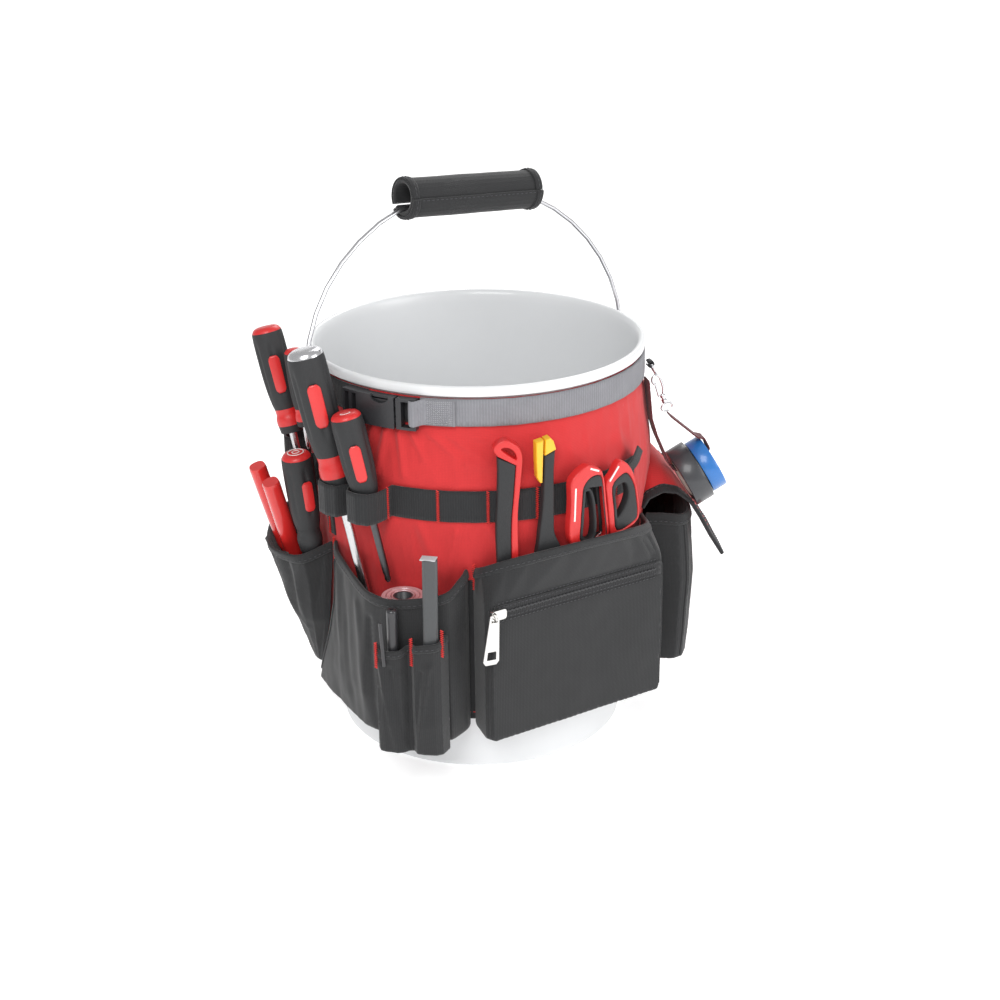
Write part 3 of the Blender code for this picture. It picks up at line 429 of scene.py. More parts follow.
def unwrap(made):
    """A UV map in millimetres: around the pail and up, or outwards and up on faces that turn away."""
    mesh = made.data
    layer = mesh.uv_layers.get("UVMap") or mesh.uv_layers.new(name="UVMap")
    corner_vertex = read(mesh.loops, "vertex_index", 1, int)
    totals = read(mesh.polygons, "loop_total", 1, int)
    normal = np.repeat(read(mesh.polygons, "normal"), totals, axis=0)
    centre = np.repeat(read(mesh.polygons, "center"), totals, axis=0)
    p = read(mesh.vertices, "co")[corner_vertex]
    radius = np.hypot(p[:, 0], p[:, 1])
    mid = np.arctan2(centre[:, 0], -centre[:, 1])
    azimuth = np.arctan2(p[:, 0], -p[:, 1])
    azimuth = mid + (azimuth - mid + np.pi) % (2 * np.pi) - np.pi
    facing = np.abs(normal[:, 0] * np.sin(mid) - normal[:, 1] * np.cos(mid))
    flat = np.abs(normal[:, 2]) > 0.8
    u = np.where(facing > 0.5, azimuth * UV_RADIUS, radius)
    v = np.where(flat, radius, p[:, 2])
    layer.data.foreach_set("uv", (np.stack([u, v], 1) / MM).astype(np.float32).ravel())


def cloth(node, material, edge=5.0, smooth=2, shift=None, crumple=None):
    """The CAD solid of a soft part made into cloth: a finer mesh, softened corners, folds from shift.
    Shift maps azimuth, radius and height, in degrees and millimetres, to millimetres outwards and upwards.
    Crumple is a depth and a spacing in millimetres."""
    bm = bmesh.new()
    bm.from_mesh(frame["nodes"][node].data)
    bmesh.ops.remove_doubles(bm, verts=bm.verts, dist=2e-5)
    for _ in range(7):
        long = [e for e in bm.edges if e.calc_length() > edge * MM]
        if not long:
            break
        bmesh.ops.subdivide_edges(bm, edges=long, cuts=1)
        bmesh.ops.triangulate(bm, faces=[f for f in bm.faces if len(f.verts) > 3])
    for _ in range(smooth):
        bmesh.ops.smooth_vert(bm, verts=bm.verts, factor=0.5, use_axis_x=True, use_axis_y=True,
                              use_axis_z=True)
    if shift:
        for vertex in bm.verts:
            x, y, z = vertex.co
            radius = math.hypot(x, y)
            out, up = shift(math.degrees(math.atan2(x, -y)), radius / MM, z / MM)
            vertex.co += Vector((x / radius * out, y / radius * out, up)) * MM
    if crumple:
        depth, spacing = crumple
        for vertex in bm.verts:
            x, y, z = vertex.co / (spacing * MM)
            vertex.co += Vector([ripple(x, y, z, seed) for seed in CRUMPLE_SEEDS]) * depth * MM
    mesh = bpy.data.meshes.new(node + "_cloth")
    bm.to_mesh(mesh)
    bm.free()
    made = sharpen(show(node + "_cloth", mesh, material), 60)
    unwrap(made)
    return wear(made, node, (node,))


def ribbon(name, spots, section, material, node, closed=False):
    """Tape, piping or webbing carried along spots, each a point and its surface normal."""
    points, normals = zip(*spots)
    made = sweep(name, points, section, material, normals, closed)
    unwrap(made)
    return wear(made, node)


def ripple(x, y, z, seed=0.0):
    """Smooth noise from -1 to 1."""
    return noise.noise(Vector((x + seed, y - seed, z + 2 * seed)))


def bump_at(azimuth, z, at_azimuth, at_z, wide, high):
    return math.exp(-((azimuth - at_azimuth) / wide) ** 2 - ((z - at_z) / high) ** 2)


class Skin:
    """Finds points on finished pieces, from outside towards the pail's axis."""

    def __init__(self, *pieces):
        self.trees = []
        for piece in pieces:
            bm = bmesh.new()
            bm.from_mesh(piece.data)
            self.trees.append(BVHTree.FromBMesh(bm))
            bm.free()

    def at(self, azimuth, z, lift=0.0):
        """The outermost point at an azimuth and height, lifted off by millimetres, and its normal."""
        start = polar(azimuth, 400, z)
        inward = (polar(azimuth, 0, z) - start).normalized()
        best = None
        for tree in self.trees:
            point, normal, _, distance = tree.ray_cast(start, inward)
            if point is not None and (best is None or distance < best[2]):
                best = (point, normal, distance)
        if best is None:
            return None
        point, normal, _ = best
        if normal.dot(inward) > 0:
            normal = -normal
        return point + normal * lift * MM, normal


STITCH = ((0.0, 0.05, -0.5), (0.15, 0.8, 0.0), (0.5, 1.0, 0.35), (0.85, 0.8, 0.0), (1.0, 0.05, -0.5))


def stitch_run(name, spots, node, material=BLACK_THREAD, length=3.2, gap=1.6, radius=0.42):
    """A run of stitches: short rounded threads laid along spots, each a point and its surface normal."""
    points, normals = zip(*spots)
    along = [0.0]
    for a, b in zip(points, points[1:]):
        along.append(along[-1] + (b - a).length / MM)

    def place(distance):
        i = min(max(np.searchsorted(along, distance) - 1, 0), len(points) - 2)
        t = (distance - along[i]) / max(along[i + 1] - along[i], 1e-9)
        return points[i].lerp(points[i + 1], t), normals[i].lerp(normals[i + 1], t).normalized()

    verts = []
    faces = []
    start = gap / 2
    while start + length < along[-1]:
        ahead = (place(start + length)[0] - place(start)[0]).normalized()
        base = len(verts)
        for t, size, lift in STITCH:
            point, normal = place(start + t * length)
            side = ahead.cross(normal).normalized()
            for k in range(5):
                a = 2 * math.pi * k / 5
                off = (side * math.cos(a) + normal * math.sin(a)) * radius * size
                verts.append(point + (off + normal * lift * radius) * MM)
        for s in range(base, base + 20, 5):
            for k in range(5):
                m = (k + 1) % 5
                faces.append((s + k, s + m, s + 5 + m, s + 5 + k))
        faces.append(tuple(base + k for k in range(5))[::-1])
        faces.append(tuple(base + 20 + k for k in range(5)))
        start += length + gap
    mesh = bpy.data.meshes.new(name)
    mesh.from_pydata(verts, [], faces)
    return wear(show(name, mesh, material), node)


def tack_on(name, skin, azimuth, z, length, node, width=2.4):
    """A bartack: a dense upright zigzag of red thread on the skin, riding with a node's body."""
    spot, _ = skin.at(azimuth, z, 0.3)
    place = frame_of(spot, tangent(azimuth), (0, 0, 1))
    count = max(int(length / 0.9), 4)
    path = [at(place, (-1) ** i * width / 2, length * (i / count - 0.5), 0.25) for i in range(count + 1)]
    ups = [normal_of(place)] * len(path)
    return wear(sweep(name, path, oval(0.62, 0.62, count=6), RED_THREAD, ups), node)


def turn_of(point):
    return math.atan2(point.x, -point.y) % (2 * math.pi)


def rim_line(node, above):
    """The node's top edge along the middle of its wall, in order of azimuth, from faces above a height."""
    mesh = frame["nodes"][node].data
    corners = {}
    for face in mesh.polygons:
        if face.normal.z > 0.55 and face.center.z > above * MM:
            for i in face.vertices:
                co = mesh.vertices[i].co
                corners[tuple(round(c, 5) for c in co)] = co.copy()
    corners = list(corners.values())
    middles = {}
    for a in corners:
        _, b = min(((c - a).length, tuple(c)) for c in corners if c is not a)
        b = Vector(b)
        if (b - a).length < 5 * MM:
            middle = (a + b) / 2
            middles[tuple(round(c, 4) for c in middle)] = middle
    line = sorted(middles.values(), key=turn_of)
    gaps = [(line[i] - line[i - 1]).length for i in range(len(line))]
    first = gaps.index(max(gaps))
    return line[first:] + line[:first]


def hem(node, skin, above, height=9.0, thick=3.4):
    """The folded top edge of a pocket, with a row of stitches under it."""
    line = [Vector(p) for p in spline(rim_line(node, above), 4)]
    steep = []
    for point in line:
        below = skin.at(math.degrees(math.atan2(point.x, -point.y)), point.z / MM - 10)
        near = below and (below[0] - point).length < 13 * MM
        steep.append((below[0] - point).normalized() if near else Vector((0, 0, -1)))
    downs = [sum(steep[max(i - 2, 0):i + 3], Vector()).normalized() for i in range(len(line))]
    edge = [(p + d * (height / 2 - 1.2) * MM, -d) for p, d in zip(line, downs)]
    band = ribbon(node + "_hem", edge, oval(thick / 2, height / 2, 3.2, 14), BLACK_CLOTH, node)
    spots = []
    for i, (point, down) in enumerate(zip(line, downs)):
        ahead = line[min(i + 1, len(line) - 1)] - line[max(i - 1, 0)]
        out = ahead.cross(-down).normalized()
        spots.append((point + down * (height - 4.2) * MM + out * (thick / 2 + 0.05) * MM, out))
    stitch_run(node + "_hem_stitches", spots, node, radius=0.36)
    return band


def around(azimuths, z, radius, step=1.0):
    """Spots along a circle about the pail's axis, each a point and its outward normal."""
    start, end = azimuths
    count = max(int(abs(end - start) / step), 2)
    spots = []
    for i in range(count + 1):
        a = start + (end - start) * i / count
        spots.append((polar(a, radius, z), polar(a, 1, 0).normalized()))
    return spots


def on_barrel(corners, radius):
    """Spots along straight runs drawn on a cylinder, from (azimuth, height) corners."""
    spots = []
    for (a0, z0), (a1, z1) in zip(corners, corners[1:]):
        count = max(int(math.hypot(math.radians(a1 - a0) * radius, z1 - z0) / 1.5), 1)
        for i in range(count + 1):
            t = i / count
            a = a0 + (a1 - a0) * t
            spots.append((polar(a, radius, z0 + (z1 - z0) * t), polar(a, 1, 0).normalized()))
    return spots


# ---- pail and bail

def ear_places():
    """One place per ear: z points out along the ear axis, origin at the pail's axis."""
    centre = joint_place("bail_swing")
    out = joint_axis("bail_swing")
    return [frame_of(centre, Vector((0, 0, 1)).cross(direction), (0, 0, 1)) for direction in (out, -out)]


def make_pail():
    low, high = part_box("bucket_shell")
    lip = (high.x - low.x) / 2 / MM
    top = high.z / MM
    outside = [(lip - 2.8, top), (lip - 1.3, top - 0.35), (lip - 0.35, top - 1.3), (lip, top - 2.8),
               (lip, top - 7), (lip - 0.3, top - 8.2), (lip - 1.2, top - 8.8), (lip - 4.4, top - 9),
               (lip - 5.0, top - 9.6), (lip - 6.2, top - 30), (lip - 18.9, 6.5), (lip - 19.6, 2.6),
               (lip - 21.2, 0.5), (lip - 23.5, 0), (60, 0), (0, 0)]
    inside = [(0, 3.4), (60, 3.4), (lip - 27, 3.5), (lip - 24, 4.6), (lip - 22, 8), (lip - 21.4, 13),
              (lip - 8.0, top - 34), (lip - 7.4, top - 12), (lip - 6.6, top - 5), (lip - 5.4, top - 1.4),
              (lip - 4.2, top - 0.3), (lip - 2.8, top)]
    pail = lathe("pail", outside + inside, Matrix(), WHITE_PLASTIC, steps=180)
    wear(weld(pail), "bucket_shell", ("bucket_shell",))
    boss = [(2.5, 151), (2.6, 158.6), (4.6, 158.5), (5.2, 157.6), (8.6, 157.5), (9.2, 158.4), (10.8, 158.5),
            (11.7, 158.0), (12, 157), (12, 143)]
    for i, place in enumerate(ear_places()):
        wear(lathe("pail_ear_%d" % i, boss, place, WHITE_PLASTIC, steps=48), "bucket_shell")


def dress(node, material, bevel=0.0, angle=30):
    """A hard CAD part keeps its shape: it gets its finish, soft edges and smooth shading."""
    part = frame["nodes"][node]
    part.data.materials.clear()
    part.data.materials.append(material)
    merge = part.modifiers.new("weld", "WELD")
    merge.merge_threshold = 1e-5
    if bevel:
        edges = part.modifiers.new("edges", "BEVEL")
        edges.width = bevel * MM
        edges.segments = 3
        edges.limit_method = "ANGLE"
        edges.angle_limit = math.radians(angle)
    part.data.polygons.foreach_set("use_smooth", [True] * len(part.data.polygons))
    normals = part.modifiers.new("normals", "WEIGHTED_NORMAL")
    normals.keep_sharp = True


def wrap_place():
    """x runs along the handle wrap, y up across the bail, z to the bail's front."""
    x = joint_axis("wrap_closure_hinge")
    z = x.cross(joint_axis("bail_swing")).normalized()
    z = z if z.y < 0 else -z
    place = frame_of((0, 0, 0), x, z.cross(x))
    low, high = local_extent("handle_wrap", place)
    _, flap_high = local_extent("wrap_flap", place)
    middle = (low + high) / 2
    radius = (high.z - low.z) / 2
    place.translation = place.to_3x3() @ (Vector((middle.x, high.y - radius, middle.z)) * MM)
    return place, (high.x - low.x) / 2, radius, flap_high.z - middle.z


def wrap_spot(place, x, radius, angle):
    """A point on the wrap and its normal, by place along it and turn around it in degrees."""
    a = math.radians(angle)
    out = place.to_3x3() @ Vector((0, math.cos(a), math.sin(a)))
    return at(place, x, 0) + out * radius * MM, out


def make_bail():
    dress("bail_wire", WIRE_STEEL)
    cloth("handle_wrap", BLACK_CLOTH, 4.0, 1, crumple=(0.5, 26))
    cloth("wrap_flap", BLACK_CLOTH, 4.0, 0, crumple=(0.35, 30))
    place, half, radius, flap_radius = wrap_place()
    for side in (-1, 1):
        for node, r, start, end in (("handle_wrap", radius, -111, 94), ("wrap_flap", flap_radius, 97, 235)):
            count = (end - start) // 6
            spots = [wrap_spot(place, side * (half - 3.6), r + 0.5, start + (end - start) * i / count)
                     for i in range(count + 1)]
            ribbon("%s_end_%d" % (node, side), spots, oval(3.8, 0.8, 3.5, 12), BINDING, node)
            raised = [(point + out * 0.9 * MM, out) for point, out in spots]
            stitch_run("%s_end_stitches_%d" % (node, side), raised, node)
    edge = [wrap_spot(place, (half - 8) * (i / 30 - 1), flap_radius + 0.15, 101) for i in range(61)]
    stitch_run("wrap_edge_stitches", edge, "wrap_flap")


# ---- skirt, straps and loops

SKIRT_FOLDS = (
    (-31, 331, -35, 286, 3.6, 4.2), (-27, 331, -25, 288, 3.2, 3.8), (-36, 331, -41, 296, 3.8, 3.4),
    (-23, 331, -18, 302, 2.8, 3.4), (-18, 331, -8, 308, 3.0, 3.2), (-13, 331, 2, 304, 3.6, 2.6),
    (-8, 332, 10, 314, 3.2, 2.0), (-4, 302, 16, 288, 4.6, 1.8), (18, 328, 34, 296, 6.0, 1.6),
    (-30, 246, -36, 196, 5.0, 3.4), (-20, 246, -14, 200, 5.0, 2.8), (-8, 240, -12, 192, 3.6, 2.4),
    (2, 246, 8, 214, 4.4, 2.0), (52, 300, 66, 240, 7.0, 2.4), (-48, 246, -50, 205, 4.0, 2.6),
    (140, 320, 150, 286, 7.0, 1.6), (175, 246, 168, 206, 7.0, 1.6), (-130, 322, -138, 284, 7.0, 1.8),
    (-160, 246, -152, 208, 6.0, 1.5), (118, 246, 124, 160, 8.0, 1.6))


def fold_at(azimuth, z, fold):
    """The height of a fold that runs between two points of the cloth and fades towards its lower end."""
    a0, z0, a1, z1, width, height = fold
    x = math.radians(azimuth - a0) * CLOTH_RADIUS
    y = z - z0
    dx = math.radians(a1 - a0) * CLOTH_RADIUS
    dy = z1 - z0
    t = (x * dx + y * dy) / (dx * dx + dy * dy)
    nearest = min(max(t, 0), 1)
    away = math.hypot(x - dx * nearest, y - dy * nearest) / width
    return height * math.exp(-away * away) * (1 - 0.6 * nearest)


def skirt_shift(azimuth, radius, z):
    if radius < SKIRT_INSIDE or z > SKIRT_TOP:
        return 0.0, 0.0
    clear = min(max((SKIRT_TOP - z) / 8, 0), 1)
    band = 1 - 0.9 * math.exp(-((z - 264) / 17) ** 4)
    if 60 < azimuth < 135:
        band = 1.0
    open_part = min(max((z - 150) / 50, 0.25), 1)
    folds = sum(fold_at(azimuth, z, fold) for fold in SKIRT_FOLDS)
    bulge = 2.2 * bump_at(azimuth, z, 88, 262, 17, 34)
    long_folds = 1.6 * ripple(azimuth * 0.055, z * 0.006, 0.2) + 1.0 * ripple(azimuth * 0.15, z * 0.012, 1.7)
    small = 0.5 * ripple(azimuth * 0.4, z * 0.05, 3.1)
    total = (folds + long_folds + small + 0.6) * band + bulge
    return max(total, -0.3) * clear * open_part, 0.0


def make_skirt():
    skirt = cloth("skirt", RED_CLOTH, 3.6, 0, skirt_shift)
    low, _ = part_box("skirt")
    stitch_run("skirt_bottom_stitches", around((-180, 180), low.z / MM + 6, 150.2), "skirt", RED_THREAD)
    bottom = [(point, (0.02, 0.03, 1)) for point, _ in around((-180, 179), low.z / MM + 1.4, 148.6, 3.0)]
    ribbon("skirt_bottom_hem", bottom, oval(1.7, 2.6, 3.0, 12), BINDING, "skirt", closed=True)
    skin = Skin(skirt)
    rows = [[skin.at(azimuth, z, 1.2)[0] for azimuth in range(-8, 6)]
            for z in range(int(low.z / MM) + 3, 199, 6)]
    join = thicken(grid("pocket_join", rows, BLACK_CLOTH), 0.8)
    unwrap(join)
    wear(join, "front_left_pocket")


def barely(azimuth, _, z):
    """The slight waviness of webbing."""
    return 0.18 * ripple(azimuth * 0.12, z * 0.04, 5.0), 0.25 * ripple(azimuth * 0.05, 2.0, 8.0)


def make_straps():
    cloth("top_strap", GREY_WEB, 7.0, 0, barely)
    cloth("adjuster_strap", BLACK_WEB, 7.0, 0)
    cloth("strap_end_patch", PATCH_WEB, 5.0, 0)
    low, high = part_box("strap_end_patch")
    radius = float(np.hypot(*local_points("strap_end_patch", Matrix())[:, :2].T).max())
    bottom, top = low.z / MM + 2, high.z / MM - 2
    box = [(-17.6, bottom), (-9.6, bottom), (-9.6, top), (-17.6, top), (-17.6, bottom), (-9.6, top)]
    for name, corners in (("patch_box", box), ("patch_cross", [(-17.6, top), (-9.6, bottom)])):
        stitch_run(name, on_barrel(corners, radius + 0.1), "strap_end_patch", GREY_THREAD, 2.4, 1.0)
    out = polar(-8.2, 1, 0).normalized()
    fold = [(polar(-8.2, radius - 0.6, bottom - 2 + i * (top - bottom + 4) / 6), out) for i in range(7)]
    ribbon("patch_fold", fold, oval(1.1, 0.9, 2.4, 10), GREY_WEB, "strap_end_patch")


def make_buckle():
    """The two halves, the webbing looped through the prong half and the webbing behind both."""
    for node in ("buckle_socket", "buckle_prongs"):
        dress(node, BUCKLE_PLASTIC, 0.7)
    low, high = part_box("strap_end_patch")
    middle = (low.z + high.z) / 2 / MM
    half = (high.z - low.z) / 2 / MM
    turns = ((-16.6, 152.6), (-18.2, 154.4), (-19.2, 158.6), (-19.8, 161.0), (-20.5, 161.6), (-21.2, 161.0),
             (-21.7, 158.8), (-21.9, 155), (-21.6, 151.9))
    path = [Vector(p) for p in spline([polar(a, r, middle) for a, r in turns], 5)]
    ahead = [(b - a).normalized() for a, b in zip(path, path[1:])]
    outwards = [Vector((-d.y, d.x, 0)) for d in ahead + ahead[-1:]]
    ribbon("strap_loop", zip(path, outwards), oval(half, 0.8, 3.5, 14), GREY_WEB, "strap_end_patch")
    ribbon("buckle_backing", around((-46, -18), middle, 150.7), oval(half, 0.6, 3.5, 12), BLACK_WEB,
           "strap_end_patch")


def make_bands():
    band = Skin(cloth("loop_band", BLACK_WEB, 5.0, 0))
    rear = Skin(cloth("rear_loop_band", BLACK_WEB, 6.0, 0))
    side = Skin(cloth("side_webbing", BLACK_WEB, 5.0, 0))
    low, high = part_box("loop_band")
    middle = (low.z + high.z) / 2 / MM
    length = (high.z - low.z) / MM + 0.5
    for i in range(6):
        azimuth = BAND_STITCH_FROM + BAND_STITCH_STEP * i
        tack_on("band_tack_%d" % i, band, azimuth, middle, length, "loop_band", 2.2)
    for i in range(9):
        azimuth = REAR_STITCH_FROM - BAND_STITCH_STEP * i
        tack_on("rear_band_tack_%d" % i, rear, azimuth, middle, length, "rear_loop_band", 2.2)
    tack_on("side_tack_top", side, -59.6, 246, 11, "side_webbing", 2.6)
    tack_on("side_tack_low", side, -59.6, 221, 20, "side_webbing", 2.6)
    tail = [polar(a, r, z) for a, r, z in ((50, 157.4, 266), (53, 159.5, 270), (55.5, 163, 276),
                                            (56.5, 164.5, 282), (58, 165, 288))]
    out = polar(54, 1, 0).normalized() + Vector((0, 0, -0.3))
    ribbon("band_tail", [(p, out) for p in spline(tail, 5)], oval(9.0, 0.9, 3.5, 12), BLACK_WEB, "loop_band")


# ---- pockets

FRONT_FOLDS = ((-4, 190, -8, 60, 4.5, 3.2), (-11, 120, -10, 50, 3.0, -2.2), (-31, 165, -30, 50, 3.0, -2.4),
               (-37, 170, -33, 60, 5.0, 2.6), (-47, 185, -42, 80, 5.0, -1.8), (-52, 190, -48, 70, 4.0, 1.8))
FAR_FOLDS = ((-60, 196, -70, 120, 4.0, 3.4), (-67, 190, -70, 120, 3.6, -3.6), (-78, 190, -70, 110, 4.0, 3.0))
PEN_FOLDS = ((-25, 138, -21.5, 50, 1.8, 2.2), (-22.6, 132, -19.6, 60, 1.8, -2.0),
             (-20, 128, -18.8, 50, 1.6, 1.6), (-13, 138, -16.8, 50, 1.8, 2.2),
             (-15, 132, -17.6, 60, 1.6, -1.8))
RIGHT_FOLDS = ((70, 170, 74, 60, 5.0, 2.4), (84, 170, 80, 60, 4.0, -2.0), (95, 150, 95, 60, 8.0, 2.6),
               (104, 170, 100, 70, 4.0, -2.0))
REAR_FOLDS = ((150, 170, 154, 60, 6.0, 2.2), (166, 170, 160, 70, 5.0, -1.8), (-138, 170, -134, 60, 6.0, 2.2),
              (-116, 170, -120, 70, 5.0, -1.8), (-96, 160, -100, 60, 5.0, 2.0))


def pocket_folds(folds, seed, base=154, depth=1.0):
    """A surface move that lays folds and soft waves on a pocket's outside and leaves its back still."""
    def shift(azimuth, radius, z):
        reach = min(max((radius - base) / 12, 0), 1)
        waves = ripple(azimuth * 0.12, z * 0.014, seed) + 0.5 * ripple(azimuth * 0.3, z * 0.04, seed + 4)
        return (sum(fold_at(azimuth, z, fold) for fold in folds) + depth * waves) * reach, 0.0
    return shift


def seam(name, node, spots, material=BINDING, radius=1.1):
    """A raised piped seam along spots on a finished piece."""
    return ribbon(name, spots, oval(radius, radius * 0.8, 2.4, 10), material, node)


def make_left_pockets():
    front = cloth("front_left_pocket", BLACK_CLOTH, 4.0, 1, pocket_folds(FRONT_FOLDS, 11.0, depth=1.6))
    far = cloth("far_left_pocket", BLACK_CLOTH, 4.0, 1, pocket_folds(FAR_FOLDS, 21.0, depth=1.4))
    pens = cloth("pen_pockets", BLACK_CLOTH, 3.0, 1, pocket_folds(PEN_FOLDS, 31.0, 160, 0.6))
    hems = [hem("front_left_pocket", Skin(front), 150), hem("far_left_pocket", Skin(far), 150),
            hem("pen_pockets", Skin(pens), 120, 7.0, 3.2)]
    skin = Skin(front, far, pens, *hems)
    for i, (azimuth, z, length) in enumerate(((-25.6, 145, 24), (-17.5, 149, 26), (-10.2, 158, 25))):
        tack_on("pen_tack_%d" % i, skin, azimuth, z, length, "pen_pockets")
    tack_on("left_seam_tack", skin, -57.6, 196, 24, "front_left_pocket")
    seam("front_left_seam", "front_left_pocket",
         [skin.at(-52.4 - 18 * ((200 - z) / 140) ** 2, z, 0.3) for z in range(66, 196, 8)])
    seam("pen_left_seam", "pen_pockets", [skin.at(-27.6, z, 0.2) for z in range(54, 148, 6)], radius=0.7)


def make_zip_pocket():
    def shift(azimuth, radius, z):
        reach = min(max((radius - 155) / 10, 0), 1)
        sag = 1.6 * ripple(azimuth * 0.06, z * 0.014, 41.0) + 0.3 * ripple(azimuth * 0.2, z * 0.05, 43.0)
        quiet = 1 - 0.85 * math.exp(-((z - 178) / 12) ** 4)
        return sag * reach * quiet, 0.0
    pocket = cloth("zip_pocket", BLACK_CLOTH, 5.0, 1, shift)
    skin = Skin(pocket)
    hem("zip_pocket", skin, 190)
    panel = node_frame("zipper_tape", joint_axis("zip_run"), (0, 0, 1))
    out = normal_of(panel)
    low, high = local_extent("zipper_tape", panel)
    cloth("zipper_tape", BINDING, 6.0, 0)
    lines = ((high.y + 2.0, 0.1), (high.y - 1.6, 0.75), (low.y + 1.6, 0.75), (low.y - 2.0, 0.1))
    for i, (y, lift) in enumerate(lines):
        spots = [(at(panel, low.x + 3 + (high.x - low.x - 6) * k / 80, y, high.z + lift - 0.5), out)
                 for k in range(81)]
        stitch_run("zip_stitches_%d" % i, spots, "zip_pocket", length=2.6, gap=1.3)
    count = int((high.x - low.x - 8) / TOOTH_STEP)
    teeth = [at(panel, low.x + 4 + k * TOOTH_STEP, 0.55 if k % 2 else -0.55, high.z + 0.35)
             for k in range(count)]
    wear(sweep("zip_coil", teeth, oval(1.0, 0.8, 2.4, 8), NYLON, [out] * count), "zipper_tape")
    for i, azimuth in enumerate((1.6, 60.4)):
        spots = [skin.at(azimuth, z, 0.1) for z in range(60, 184, 8)]
        seam("zip_pocket_edge_%d" % i, "zip_pocket", spots, BLACK_CLOTH, 1.0)
    tack_on("apex_tack", skin, -2.6, 199, 24, "zip_pocket")
    for node in ("zipper_slider", "zipper_pull"):
        dress(node, ZIP_METAL, 0.45)


def make_right_pockets():
    right = cloth("right_pocket", BLACK_CLOTH, 4.5, 1, pocket_folds(RIGHT_FOLDS, 51.0))
    skin = Skin(right)
    hem("right_pocket", skin, 180, 11.0)
    for azimuth in (79.4, 110.6):
        spots = [skin.at(azimuth, z, 0.0) for z in range(60, 198, 8)]
        seam("right_pocket_edge_%d" % (azimuth > 90), "right_pocket", spots, BLACK_CLOTH, 1.0)
    for i, node in enumerate(("rear_pocket_right", "rear_pocket_left")):
        rear = cloth(node, BLACK_CLOTH, 5.0, 1, pocket_folds(REAR_FOLDS, 61.0 + 7 * i, depth=1.3))
        hem(node, Skin(rear), 180)


# ---- flap, hanger and tape rolls

def flap_surface(u, v):
    """The hood over the right pocket, in the hinge's axes: across u from -1 to 1, down v from 0 to 1.
    Returns azimuth-side offset, distance out from the pail's axis, and height, in millimetres."""
    middle = [(155.8, 262), (160, 255), (166.5, 246.5), (175, 235), (187.5, 217), (200, 200), (210, 182),
              (220, 165)]
    side = [(142.5, 210), (148.4, 220.5), (162.5, 227.3), (176.9, 225.3), (189.3, 215.6), (197, 203),
            (208, 182), (219, 164)]
    along = v * (len(middle) - 1)
    i = min(int(along), len(middle) - 2)
    t = along - i
    t = t * t * (3 - 2 * t) * 0.35 + t * 0.65
    m = [a + (b - a) * t for a, b in zip(middle[i], middle[i + 1])]
    s = [a + (b - a) * t for a, b in zip(side[i], side[i + 1])]
    drop = abs(u) ** 2.6
    out = m[0] + (s[0] - m[0]) * drop
    z = m[1] + (s[1] - m[1]) * drop
    width = 51 + 4 * v
    soft = 0.9 * ripple(u * 1.5, v * 3.0, 71.0)
    return u * width, out + soft * (1 - drop), z + soft * v


def make_flap():
    hinge = joint_place("flap_hinge")
    azimuth = math.degrees(math.atan2(hinge.x, -hinge.y))
    across = tangent(azimuth)
    out = polar(azimuth, 1, 0).normalized()

    def place(u, v, lift=0.0):
        x, r, z = flap_surface(u, v)
        return across * x * MM + out * (r + lift * 0.6) * MM + Vector((0, 0, z + lift * 0.8)) * MM

    rows_out = [[place(i / 14 - 1, j / 26, 1.0) for i in range(29)] for j in range(27)]
    rows_in = [[place(i / 14 - 1, j / 26, -1.0) for i in range(29)] for j in range(27)]
    rows = [top + bottom[::-1] for top, bottom in zip(rows_out, rows_in)]
    flap = weld(grid("flap_hood", rows, RED_CLOTH, closed=True, caps=True))
    unwrap(flap)
    wear(flap, "pocket_flap", ("pocket_flap",))
    border = [(-1, j / 26, -0.8, j / 26) for j in range(27)]
    border += [(i / 14 - 1, 1, i / 14 - 1, 0.9) for i in range(1, 28)]
    border += [(1, 1 - j / 26, 0.8, 1 - j / 26) for j in range(27)]
    path = [place(u, v) for u, v, _, _ in border]
    normals = [(place(u, v) - place(inner_u, inner_v)).normalized() for u, v, inner_u, inner_v in border]
    inset_and_highlight = [(p - n * 3.4 * MM, n) for p, n in zip(path, normals)]
    ribbon("flap_binding", inset_and_highlight, oval(2.0, 4.6, 3.2, 14), BINDING, "pocket_flap")
    spots = []
    for p, n, q in zip(path, normals, path[1:] + path[-1:]):
        up = (q - p).cross(n).normalized()
        up = up if up.z > 0 else -up
        if up.length > 0:
            spots.append((p - n * 6.0 * MM + up * 2.0 * MM, up))
    stitch_run("flap_stitches", spots, "pocket_flap")


def make_rolls():
    axis = joint_axis("grey_roll_spin")
    for node, material in (("tape_roll_grey", GREY_TAPE), ("tape_roll_blue", BLUE_TAPE)):
        place, length = axis_frame(node, axis)
        low, high = local_extent(node, place)
        radius = (high.x - low.x) / 2
        bore = float(np.hypot(*local_points(node, place)[:, :2].T).min())
        core = bore + 2.2
        face = [(core + 0.2, -0.5), (core + 1.6, -0.1)]
        steps = 9
        for i in range(steps):
            r = core + 1.6 + (radius - core - 2.4) * i / (steps - 1)
            face.append((r, -0.1 - 0.14 * (i % 2)))
        outside = [(radius - 0.4, -0.2), (radius, -0.8), (radius, -length + 0.8),
                   (radius - 0.4, -length + 0.2)]
        back = [(r, -length - h) for r, h in reversed(face)]
        ring = weld(lathe(node + "_wound", face + outside + back + [face[0]], place, material, 96))
        wear(ring, node, (node,))
        inner = [(bore, 0), (core, 0), (core + 0.3, -0.6), (core + 0.3, -length + 0.6), (core, -length),
                 (bore, -length), (bore, 0)]
        wear(weld(lathe(node + "_core", inner, place, TAPE_CORE, 72)), node)


